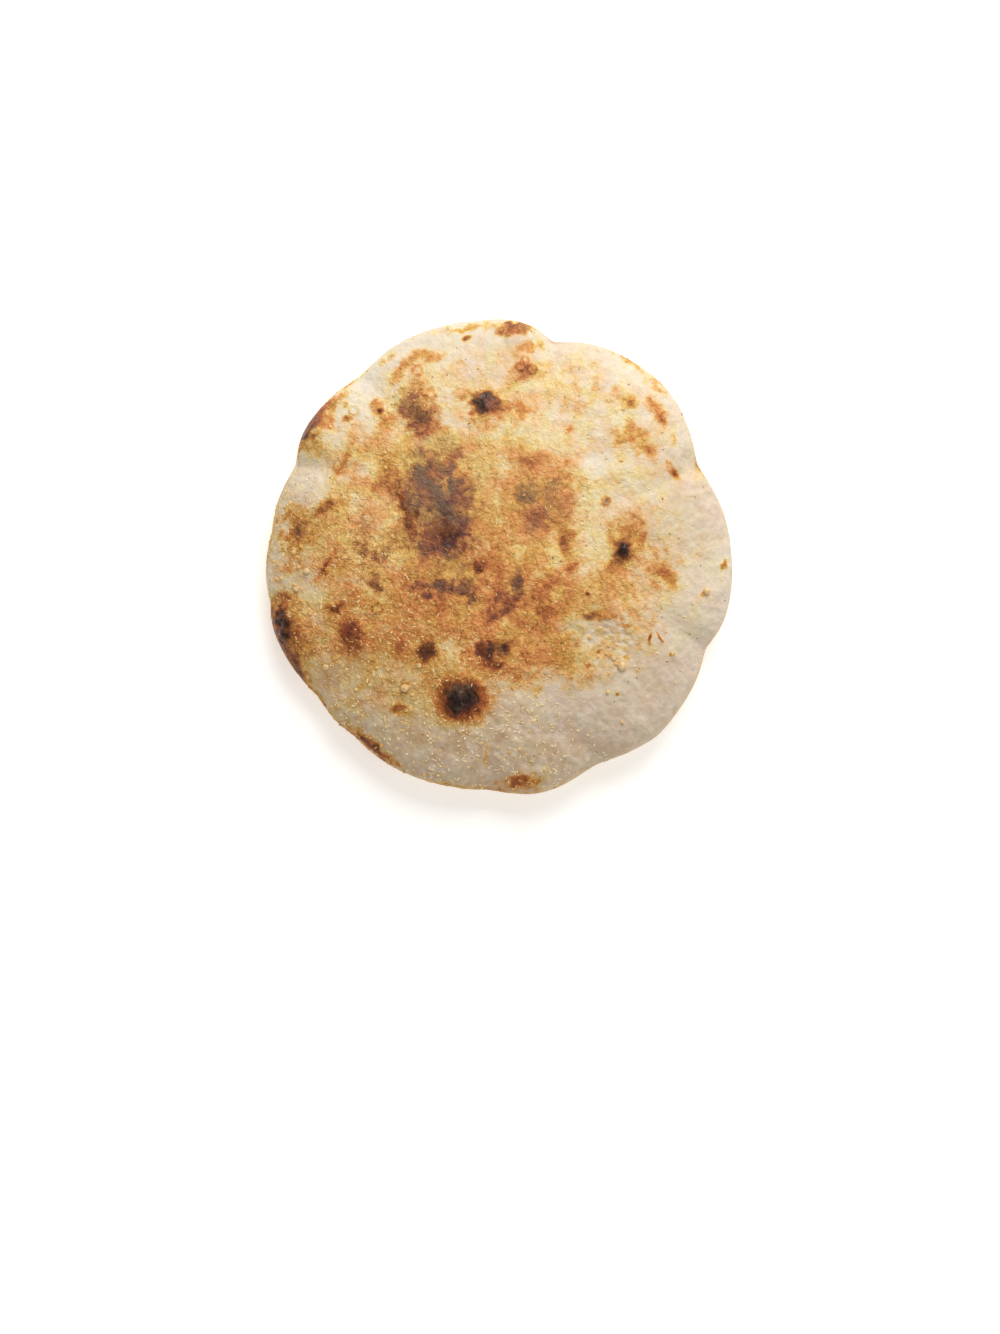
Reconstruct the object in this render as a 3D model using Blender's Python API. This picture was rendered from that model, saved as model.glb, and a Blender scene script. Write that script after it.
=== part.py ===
"""Pita bread: one round pocket loaf, still a little puffed, lying on its flat underside.

The loaf is a single closed body. Its rim is scalloped, because a balloon of dough that
blows up in the oven has to crimp round its edge, and each crimp runs inwards as a shallow
valley. Blisters stand up from the crust and a few dents sink into it.

+X is to the right and +Y away from the reader, with the best-baked face up, along +Z. The
origin is the middle of the footprint, on the surface that the loaf lies on.
"""

import math
from collections import namedtuple

import bmesh
import bpy
from mathutils import Vector, noise

MM = 0.001

# Driving sizes, in millimetres. A share is a share of the outline's own radius.
RADIUS = 78.5
THICKNESS = 25.0
RIM_HEIGHT = 9.0
BASE_SHARE = 0.78

# How the dome rounds off: a higher dome power keeps the middle flatter, and a lower
# rim rounding makes the edge blunter. A higher scallop hold keeps the scallops nearer
# the rim, with rounder rings inside them.
DOME_POWER = 2.3
UNDER_POWER = 1.8
RIM_ROUNDING = 0.5
SCALLOP_HOLD = 2.5

# Relief of the upper crust: its slow lumps, the half-width of a valley at the rim, the
# shape of a blister, and the share of the dome's height where the relief is full.
LUMP_SPAN = 26.0
LUMP_HEIGHT = 0.9
VALLEY_WIDTH = 5.2
BLISTER_CORE = 0.62
BLISTER_POWER = 2.6
FULL_RELIEF = 0.17

# Mesh density.
SPOKES = 120
UPPER_RINGS = 20
LOWER_RINGS = 7

CRUST_COLOUR = (0.76, 0.56, 0.32, 1.0)
CRUST_ROUGHNESS = 0.82

# A crimp in the rim. Angles are in degrees from +X towards +Y. The cut is how far it
# bites into the outline, before and after are its spreads in degrees on either side,
# reach is how far its valley runs inwards, lean is how far that valley turns off the
# straight way to the middle and sink is how deep it is at the rim.
Crease = namedtuple("Crease", "angle cut before after reach lean sink")
CREASES = (
    Crease(25, 5.5, 13, 11, 26, 4, 3.4),
    Crease(76, 4.4, 8, 4.5, 24, 0, 2.6),
    Crease(128, 2.2, 8, 9, 24, 12, 1.6),
    Crease(156, 3.2, 6, 8, 28, 17, 2.8),
    Crease(174, 1.2, 5, 6, 12, 0, 0.8),
    Crease(191, 0.7, 3, 3, 10, 0, 0.8),
    Crease(217, 1.9, 8, 8, 20, -10, 1.4),
    Crease(231, 1.2, 5, 5, 14, 0, 0.9),
    Crease(267, 0.7, 5, 5, 34, -2, 1.7),
    Crease(295, 2.2, 8, 8, 22, 6, 1.4),
    Crease(336, 3.1, 8, 6, 26, -8, 2.2),
)

# A swelling of the rim between two creases, or a flat stretch where the rise is negative.
Lobe = namedtuple("Lobe", "angle rise spread")
LOBES = (
    Lobe(4, -0.7, 12),
    Lobe(48, 1.0, 12),
    Lobe(88, 0.5, 6),
    Lobe(106, 1.1, 16),
    Lobe(166, -1.0, 9),
    Lobe(201, 0.9, 10),
    Lobe(248, 0.4, 8),
    Lobe(280, 1.6, 8),
    Lobe(311, 1.0, 8),
)

# A blister that stands up from the upper crust, or a dent where the height is negative.
Blister = namedtuple("Blister", "x y radius height")
BLISTERS = (
    Blister(-13, -46, 8.5, 2.8),
    Blister(41, 2, 6.5, 1.2),
    Blister(-4, 50, 7.0, 1.1),
    Blister(-48, -27, 6.5, 1.4),
    Blister(5, 74, 7.0, 1.4),
    Blister(-20, 17, 14.0, 1.0),
    Blister(-27, 50, 9.0, 1.0),
    Blister(-61, 43, 8.0, 1.2),
    Blister(-70, -25, 8.0, 1.2),
    Blister(14, 18, 11.0, 0.8),
    Blister(33, -29, 9.5, -1.3),
    Blister(33, 31, 6.0, -0.8),
)


def turn_between(angle, other):
    """Signed angle in degrees from other to angle, the short way round."""
    return (angle - other + 180.0) % 360.0 - 180.0


def bell(distance, power=2.0):
    """1 in the middle, falling smoothly to 0 a few units away."""
    return math.exp(-(abs(distance) ** power))


def eased(share):
    """Smooth step from 0 to 1 as share goes from 0 to 1."""
    held = min(1.0, max(0.0, share))
    return held * held * (3.0 - 2.0 * held)


def outline_radius(angle):
    """Radius of the scalloped rim in this direction."""
    radius = RADIUS
    for crease in CREASES:
        off = turn_between(angle, crease.angle)
        spread = crease.before if off < 0 else crease.after
        radius -= crease.cut * bell(off / spread, 1.5)
    for lobe in LOBES:
        radius += lobe.rise * bell(turn_between(angle, lobe.angle) / lobe.spread)
    return radius


def ring_radius(angle, share):
    """Radius of the ring at this share: scalloped at the rim and round further in."""
    scallop = outline_radius(angle) - RADIUS
    return share * (RADIUS + scallop * share**SCALLOP_HOLD)


def towards(angle, length):
    """A point this far from the middle in this direction, at the height of the base."""
    return Vector((length * math.cos(math.radians(angle)), length * math.sin(math.radians(angle)), 0.0))


def valley_depth(place):
    """How far the creases lower the upper crust at this place."""
    depth = 0.0
    for crease in CREASES:
        from_notch = place - towards(crease.angle, outline_radius(crease.angle))
        inwards = towards(crease.angle + 180.0 + crease.lean, 1.0)
        strength = eased(1.0 - from_notch.dot(inwards) / crease.reach)
        across = from_notch.cross(inwards).z / (VALLEY_WIDTH * (0.4 + 0.6 * strength))
        depth += crease.sink * strength * bell(across, 1.6)
    return depth


def blister_height(place):
    """How far the blisters and dents lift the upper crust at this place."""
    height = 0.0
    for blister in BLISTERS:
        off = math.hypot(place.x - blister.x, place.y - blister.y)
        height += blister.height * bell(off / (BLISTER_CORE * blister.radius), BLISTER_POWER)
    return height


def upper_point(angle, share):
    """A point on the upper crust, where share runs from 0 in the middle to 1 at the rim."""
    place = towards(angle, ring_radius(angle, share))
    dome = (1.0 - share**DOME_POWER) ** RIM_ROUNDING
    relief = LUMP_HEIGHT * noise.noise(place / LUMP_SPAN)
    relief += blister_height(place) - valley_depth(place)
    place.z = RIM_HEIGHT + (THICKNESS - RIM_HEIGHT) * dome + relief * eased(dome / FULL_RELIEF)
    return place


def lower_point(angle, share):
    """A point on the underside, where share runs from 0 at the flat base to 1 at the rim."""
    place = towards(angle, ring_radius(angle, BASE_SHARE + (1.0 - BASE_SHARE) * share))
    place.z = RIM_HEIGHT * (1.0 - (1.0 - share**UNDER_POWER) ** RIM_ROUNDING)
    return place


def ring_shares(count):
    """Shares from just inside 0 up to just under 1, closer together towards the rim."""
    return [math.sin(0.5 * math.pi * step / count) for step in range(1, count)]


def add_ring(bm, place, share):
    """One closed ring of vertices at this share, by the function that places them."""
    return [bm.verts.new(place(360.0 * spoke / SPOKES, share)) for spoke in range(SPOKES)]


def join_rings(bm, inner, outer):
    """A band of faces between two rings, facing up when outer is the wider, lower ring."""
    for spoke in range(SPOKES):
        following = (spoke + 1) % SPOKES
        bm.faces.new((inner[spoke], outer[spoke], outer[following], inner[following]))


def build_loaf(bm):
    """The whole closed skin of the loaf: upper crust, rim, underside and flat base."""
    crown = bm.verts.new(upper_point(0.0, 0.0))
    rings = [add_ring(bm, upper_point, share) for share in ring_shares(UPPER_RINGS)]
    rings.append(add_ring(bm, upper_point, 1.0))
    rings += [add_ring(bm, lower_point, share) for share in reversed(ring_shares(LOWER_RINGS))]
    rings.append(add_ring(bm, lower_point, 0.0))
    for spoke in range(SPOKES):
        bm.faces.new((crown, rings[0][spoke], rings[0][(spoke + 1) % SPOKES]))
    for inner, outer in zip(rings, rings[1:]):
        join_rings(bm, inner, outer)
    bm.faces.new(reversed(rings[-1]))


def set_on_origin(bm):
    """Moves the footprint's middle to the origin and turns millimetres into metres."""
    middle = Vector(
        (
            0.5 * (min(v.co.x for v in bm.verts) + max(v.co.x for v in bm.verts)),
            0.5 * (min(v.co.y for v in bm.verts) + max(v.co.y for v in bm.verts)),
            0.0,
        )
    )
    for vert in bm.verts:
        vert.co = (vert.co - middle) * MM


def crust_material():
    """Baked wheat dough."""
    material = bpy.data.materials.new("baked_crust")
    material.use_nodes = True
    shader = material.node_tree.nodes["Principled BSDF"]
    shader.inputs["Base Color"].default_value = CRUST_COLOUR
    shader.inputs["Roughness"].default_value = CRUST_ROUGHNESS
    return material


def add_pita():
    """The loaf as one named object."""
    bm = bmesh.new()
    build_loaf(bm)
    set_on_origin(bm)
    mesh = bpy.data.meshes.new("pita")
    bm.to_mesh(mesh)
    bm.free()
    mesh.shade_smooth()
    mesh.set_sharp_from_angle(angle=math.radians(50.0))
    mesh.materials.append(crust_material())
    bpy.context.scene.collection.objects.link(bpy.data.objects.new("pita", mesh))


for leftover in list(bpy.data.objects):
    bpy.data.objects.remove(leftover)
add_pita()
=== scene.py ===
"""Looks of a hand-baked pita: its blistered crust, the semolina baked on to it and a plain studio.

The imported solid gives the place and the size. The crust repeats that solid's driving sizes
and creases as one fine closed skin, and adds what an oven does to dough: blisters, pits,
wrinkles, a crimped seam and scorch marks. Loose semolina, bran and crumbs are scattered over
it by Geometry Nodes and made plain meshes, and a few beads of dough are set on it one by one.

Lengths are millimetres in the dough's own frame, with +X to the right, +Y to the upper edge
and +Z out of the best-baked face, until a mesh is placed in metres on the frame.
"""

from __future__ import annotations

import logging
import math
from dataclasses import dataclass, field
from enum import Enum
from typing import Any, NamedTuple

import bmesh
import bpy
import numpy as np
from mathutils import Matrix, Vector, noise

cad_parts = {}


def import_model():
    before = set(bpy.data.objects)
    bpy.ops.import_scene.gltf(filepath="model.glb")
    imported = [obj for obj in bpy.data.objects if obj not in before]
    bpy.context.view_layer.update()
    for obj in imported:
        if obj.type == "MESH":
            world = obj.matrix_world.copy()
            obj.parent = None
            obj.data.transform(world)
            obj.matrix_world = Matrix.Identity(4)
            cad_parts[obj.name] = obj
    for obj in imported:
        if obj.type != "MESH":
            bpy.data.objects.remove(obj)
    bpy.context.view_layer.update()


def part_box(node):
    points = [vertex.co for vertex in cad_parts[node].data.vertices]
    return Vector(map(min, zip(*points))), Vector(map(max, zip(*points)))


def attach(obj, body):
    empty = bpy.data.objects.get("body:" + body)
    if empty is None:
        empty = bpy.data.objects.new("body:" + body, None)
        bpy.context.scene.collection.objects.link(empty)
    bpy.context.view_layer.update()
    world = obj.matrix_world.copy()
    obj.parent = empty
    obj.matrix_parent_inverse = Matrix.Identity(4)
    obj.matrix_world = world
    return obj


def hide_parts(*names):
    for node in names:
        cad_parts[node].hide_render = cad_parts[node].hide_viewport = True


LOG = logging.getLogger("pita")
MM = 0.001
# How far one step of a seed moves a pattern, counted in its lumps or cells.
NOISE_STEP = (17.3, 5.9, 11.1)
CELL_STEP = (7.7, 13.1, 3.3)
NODE = "pita"
BODY = "root"


# --------------------------------------------------------------------------------------
# Small helpers
# --------------------------------------------------------------------------------------


def linear_colour(hex_code: str) -> tuple[float, float, float, float]:
    """Turns an sRGB hex colour into the linear values that a shader socket takes.

    Args:
        hex_code: six hex digits, such as "e6d8bc".

    Returns:
        Linear red, green, blue and an alpha of 1.
    """
    channels = [int(hex_code[start : start + 2], 16) / 255.0 for start in (0, 2, 4)]
    linear = [c / 12.92 if c <= 0.04045 else ((c + 0.055) / 1.055) ** 2.4 for c in channels]
    return (linear[0], linear[1], linear[2], 1.0)


def per_mm(span_mm: float) -> float:
    """Texture scale, in Object coordinates, that gives a pattern this span in millimetres."""
    return 1.0 / (span_mm * MM)


def bell(distance: np.ndarray, power: float = 2.0) -> np.ndarray:
    """1 in the middle, falling smoothly to 0 a few units away."""
    return np.exp(-(np.abs(distance) ** power))


def eased(share: np.ndarray) -> np.ndarray:
    """Smooth step from 0 to 1 as share goes from 0 to 1."""
    held = np.clip(share, 0.0, 1.0)
    return held * held * (3.0 - 2.0 * held)


def step_up(value: np.ndarray, start: float, width: float) -> np.ndarray:
    """Smooth step from 0 at start to 1 one width above it."""
    return eased((value - start) / width)


def turn_between(angle: np.ndarray, other: float) -> np.ndarray:
    """Signed angle in degrees from other to angle, the short way round."""
    return (angle - other + 180.0) % 360.0 - 180.0


def from_polar(radius: np.ndarray, angle: np.ndarray, height: np.ndarray) -> np.ndarray:
    """Rows of x, y, z from each place's radius, direction in degrees and height."""
    turned = np.radians(angle)
    return np.column_stack((radius * np.cos(turned), radius * np.sin(turned), height))


def noise_field(places: np.ndarray, span: float, seed: int = 0) -> np.ndarray:
    """Smooth noise at many places.

    Args:
        places: one row of x, y, z in millimetres for each place.
        span: size of one lump in millimetres.
        seed: moves the pattern, so that two fields with one span differ.

    Returns:
        One value for each place, from about -1 to 1.
    """
    shift = Vector([seed * step for step in NOISE_STEP])
    return np.array([noise.noise(Vector(place) / span + shift) for place in places])


def cell_distance(places: np.ndarray, span: float, seed: int = 0) -> np.ndarray:
    """Distance to the nearest of many scattered points, as a share of their spacing."""
    shift = Vector([seed * step for step in CELL_STEP])
    return np.array([noise.voronoi(Vector(place) / span + shift)[0][0] for place in places])


class Layer(NamedTuple):
    """One layer of noise: the size of its lumps in millimetres, its strength and its seed."""

    span: float
    strength: float
    seed: int


def layered(
    places: np.ndarray, layers: tuple[Layer, ...], base: float | np.ndarray = 0.0
) -> np.ndarray:
    """Adds layers of noise together.

    Args:
        places: one row of x, y, z in millimetres for each place.
        layers: the layers to add, in order.
        base: what they are added to.

    Returns:
        One value for each place.
    """
    total = np.zeros(len(places)) + base
    for layer in layers:
        total += layer.strength * noise_field(places, layer.span, layer.seed)
    return total


def add_node(
    tree: bpy.types.NodeTree,
    kind: str,
    inputs: dict[str | int, Any] | None = None,
    **settings: Any,
) -> bpy.types.Node:
    """Adds one node to a shader or geometry tree.

    Args:
        tree: the tree to add to.
        kind: the node's type name.
        inputs: what each input socket gets, by name or number: a socket to link, or a value.
        settings: the node's own properties.

    Returns:
        The new node.
    """
    node = tree.nodes.new(kind)
    for name, value in settings.items():
        setattr(node, name, value)
    for key, value in (inputs or {}).items():
        if isinstance(value, bpy.types.NodeSocket):
            tree.links.new(value, node.inputs[key])
        else:
            node.inputs[key].default_value = value
    return node


def set_ramp(node: bpy.types.Node, stops: tuple[tuple[float, str], ...]) -> None:
    """Gives a Color Ramp node its stops.

    Args:
        node: the Color Ramp node.
        stops: position and sRGB hex colour of each stop, in rising order.
    """
    elements = node.color_ramp.elements
    while len(elements) < len(stops):
        elements.new(0.5)
    for element, (position, hex_code) in zip(elements, stops):
        element.position = position
        element.color = linear_colour(hex_code)


# --------------------------------------------------------------------------------------
# The dough's form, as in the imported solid
# --------------------------------------------------------------------------------------


class Crease(NamedTuple):
    """A crimp in the rim, with the valley that runs inwards from it."""

    angle: float
    cut: float
    before: float
    after: float
    reach: float
    lean: float
    sink: float


class Lobe(NamedTuple):
    """A swelling of the rim, or a flat stretch where the rise is negative."""

    angle: float
    rise: float
    spread: float


class Blister(NamedTuple):
    """A blister of the upper crust, or a dent where the height is negative."""

    x: float
    y: float
    radius: float
    height: float


CREASES = (
    Crease(25, 5.5, 13, 11, 26, 4, 3.4),
    Crease(76, 4.4, 8, 4.5, 24, 0, 2.6),
    Crease(128, 2.2, 8, 9, 24, 12, 1.6),
    Crease(156, 3.2, 6, 8, 28, 17, 2.8),
    Crease(174, 1.2, 5, 6, 12, 0, 0.8),
    Crease(191, 0.7, 3, 3, 10, 0, 0.8),
    Crease(217, 1.9, 8, 8, 20, -10, 1.4),
    Crease(231, 1.2, 5, 5, 14, 0, 0.9),
    Crease(267, 0.7, 5, 5, 34, -2, 1.7),
    Crease(295, 2.2, 8, 8, 22, 6, 1.4),
    Crease(336, 3.1, 8, 6, 26, -8, 2.2),
)
LOBES = (
    Lobe(4, -0.7, 12),
    Lobe(48, 1.0, 12),
    Lobe(88, 0.5, 6),
    Lobe(106, 1.1, 16),
    Lobe(166, -1.0, 9),
    Lobe(201, 0.9, 10),
    Lobe(248, 0.4, 8),
    Lobe(280, 1.6, 8),
    Lobe(311, 1.0, 8),
)
BLISTERS = (
    Blister(-13, -46, 8.5, 2.8),
    Blister(41, 2, 6.5, 1.2),
    Blister(-4, 50, 7.0, 1.1),
    Blister(-48, -27, 6.5, 1.4),
    Blister(5, 74, 7.0, 1.4),
    Blister(-20, 17, 14.0, 1.0),
    Blister(-27, 50, 9.0, 1.0),
    Blister(-61, 43, 8.0, 1.2),
    Blister(-70, -25, 8.0, 1.2),
    Blister(14, 18, 11.0, 0.8),
    Blister(33, -29, 9.5, -1.3),
    Blister(33, 31, 6.0, -0.8),
)


@dataclass(frozen=True)
class LoafForm:
    """The loaf's outer form: a low dome over a flat underside, with a scalloped rim."""

    radius: float = 78.5
    thickness: float = 25.0
    rim_height: float = 9.0
    base_share: float = 0.78
    dome_power: float = 2.3
    under_power: float = 1.8
    rim_rounding: float = 0.5
    scallop_hold: float = 2.5
    lump_span: float = 26.0
    lump_height: float = 0.9
    crease_power: float = 1.5
    valley_width: float = 5.2
    valley_end: float = 0.4
    valley_power: float = 1.6
    blister_core: float = 0.62
    blister_power: float = 2.6
    full_relief: float = 0.17
    outline_step: float = 3.0
    creases: tuple[Crease, ...] = CREASES
    lobes: tuple[Lobe, ...] = LOBES
    blisters: tuple[Blister, ...] = BLISTERS

    def outline_radius(self, angle: np.ndarray) -> np.ndarray:
        """Radius of the scalloped rim in each direction, in degrees.

        Args:
            angle: direction of each place in degrees.

        Returns:
            The radius in millimetres for each direction.
        """
        radius = np.full_like(angle, self.radius)
        for crease in self.creases:
            off = turn_between(angle, crease.angle)
            spread = np.where(off < 0.0, crease.before, crease.after)
            radius -= crease.cut * bell(off / spread, self.crease_power)
        for lobe in self.lobes:
            radius += lobe.rise * bell(turn_between(angle, lobe.angle) / lobe.spread)
        return radius

    def ring_radius(self, angle: np.ndarray, share: np.ndarray) -> np.ndarray:
        """Radius of the ring at each share: scalloped at the rim and round further in."""
        scallop = self.outline_radius(angle) - self.radius
        return share * (self.radius + scallop * share**self.scallop_hold)

    def valley_depth(self, x: np.ndarray, y: np.ndarray) -> np.ndarray:
        """How far the creases lower the upper crust at each place.

        Args:
            x: places across the loaf, in millimetres.
            y: places up the loaf, in millimetres.

        Returns:
            The depth in millimetres at each place.
        """
        depth = np.zeros_like(x)
        for crease in self.creases:
            notch = float(self.outline_radius(np.array([float(crease.angle)]))[0])
            angle = math.radians(crease.angle)
            inwards = math.radians(crease.angle + 180.0 + crease.lean)
            from_x = x - notch * math.cos(angle)
            from_y = y - notch * math.sin(angle)
            along = from_x * math.cos(inwards) + from_y * math.sin(inwards)
            across = from_x * math.sin(inwards) - from_y * math.cos(inwards)
            strength = eased(1.0 - along / crease.reach)
            width = self.valley_width * (self.valley_end + (1.0 - self.valley_end) * strength)
            depth += crease.sink * strength * bell(across / width, self.valley_power)
        return depth

    def blister_height(self, x: np.ndarray, y: np.ndarray) -> np.ndarray:
        """How far the blisters and dents lift the upper crust at each place.

        Args:
            x: places across the loaf, in millimetres.
            y: places up the loaf, in millimetres.

        Returns:
            The height in millimetres at each place, less than 0 in a dent.
        """
        height = np.zeros_like(x)
        for blister in self.blisters:
            off = np.hypot(x - blister.x, y - blister.y) / (self.blister_core * blister.radius)
            height += blister.height * bell(off, self.blister_power)
        return height

    def upper(self, angle: np.ndarray, share: np.ndarray) -> np.ndarray:
        """Places on the upper crust.

        Args:
            angle: direction of each place in degrees.
            share: 0 in the middle to 1 at the rim, for each place.

        Returns:
            One row of x, y, z for each place.
        """
        radius = self.ring_radius(angle, share)
        x = radius * np.cos(np.radians(angle))
        y = radius * np.sin(np.radians(angle))
        dome = np.maximum(0.0, 1.0 - share**self.dome_power) ** self.rim_rounding
        flat = np.column_stack((x, y, np.zeros_like(x)))
        relief = self.lump_height * noise_field(flat, self.lump_span)
        relief += self.blister_height(x, y) - self.valley_depth(x, y)
        rise = (self.thickness - self.rim_height) * dome
        height = self.rim_height + rise + relief * eased(dome / self.full_relief)
        return np.column_stack((x, y, height))

    def lower(self, angle: np.ndarray, share: np.ndarray) -> np.ndarray:
        """Places on the underside.

        Args:
            angle: direction of each place in degrees.
            share: 0 at the flat base's edge to 1 at the rim, for each place.

        Returns:
            One row of x, y, z for each place.
        """
        radius = self.ring_radius(angle, self.base_share + (1.0 - self.base_share) * share)
        turned = np.maximum(0.0, 1.0 - share**self.under_power) ** self.rim_rounding
        return from_polar(radius, angle, self.rim_height * (1.0 - turned))

    def rim_share(self, x: np.ndarray, y: np.ndarray) -> np.ndarray:
        """How far out each place is, from 0 in the middle to 1 on the scalloped rim."""
        return np.hypot(x, y) / self.outline_radius(np.degrees(np.arctan2(y, x)))

    def footprint_middle(self) -> tuple[float, float]:
        """Middle of the box round the rim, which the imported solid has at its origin.

        Returns:
            The middle's x and y in millimetres.
        """
        angle = np.arange(0.0, 360.0, self.outline_step)
        rim = self.upper(angle, np.ones_like(angle))
        return (
            float(rim[:, 0].min() + rim[:, 0].max()) / 2.0,
            float(rim[:, 1].min() + rim[:, 1].max()) / 2.0,
        )


# --------------------------------------------------------------------------------------
# Scorch marks and toasting
# --------------------------------------------------------------------------------------


class Zone(NamedTuple):
    """A broad soft ellipse of the crust, with its level of toasting or dust."""

    x: float
    y: float
    along: float
    across: float
    turn: float
    level: float = 0.0


class Mark(NamedTuple):
    """A scorch mark: an ellipse with its own toasting and ash, which on the black blister is also painted
    glint, and how ragged and crisp its edge is.
    """

    x: float
    y: float
    along: float
    across: float
    turn: float
    level: float
    ash_and_glint: float = 0.0
    ragged: float = 1.0
    crisp: float = 2.9


ZONES = (
    Zone(28, 38, 36, 28, 0, 0.21),
    Zone(-6, 58, 36, 11, 0, 0.23),
    Zone(46, -4, 22, 22, 0, 0.21),
    Zone(-30, -42, 34, 14, 0, 0.25),
    Zone(14, 54, 17, 10, 0, 0.26),
    Zone(-56, 8, 15, 16, 0, 0.35),
    Zone(-44, 34, 20, 13, 30, 0.28),
    Zone(-6, 36, 22, 9, 0, 0.27),
    Zone(-50, -18, 18, 14, 15, 0.36),
    Zone(-18, 8, 40, 28, 0, 0.42),
    Zone(-16, -20, 44, 16, 0, 0.45),
    Zone(0, -14, 31, 20, 0, 0.50),
    Zone(14, -32, 24, 9, 0, 0.47),
    Zone(34, -14, 12, 11, 0, 0.41),
)

# Where fine brown oven dust and bran dull the pale dough. The same coat is also painted shade, which darkens
# the lower part and the rims.
DUST_AND_SHADE = (
    Zone(-34, -52, 44, 26, -35, 0.76),
    Zone(0, -66, 56, 22, 0, 0.75),
    Zone(44, -46, 34, 20, 40, 0.50),
    Zone(-68, 0, 12, 34, 0, 0.55),
    Zone(64, 18, 20, 24, 0, 0.44),
    Zone(6, 71, 44, 8, 0, 0.22),
    Zone(29, -29, 13, 13, 0, 0.55),
)

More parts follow.
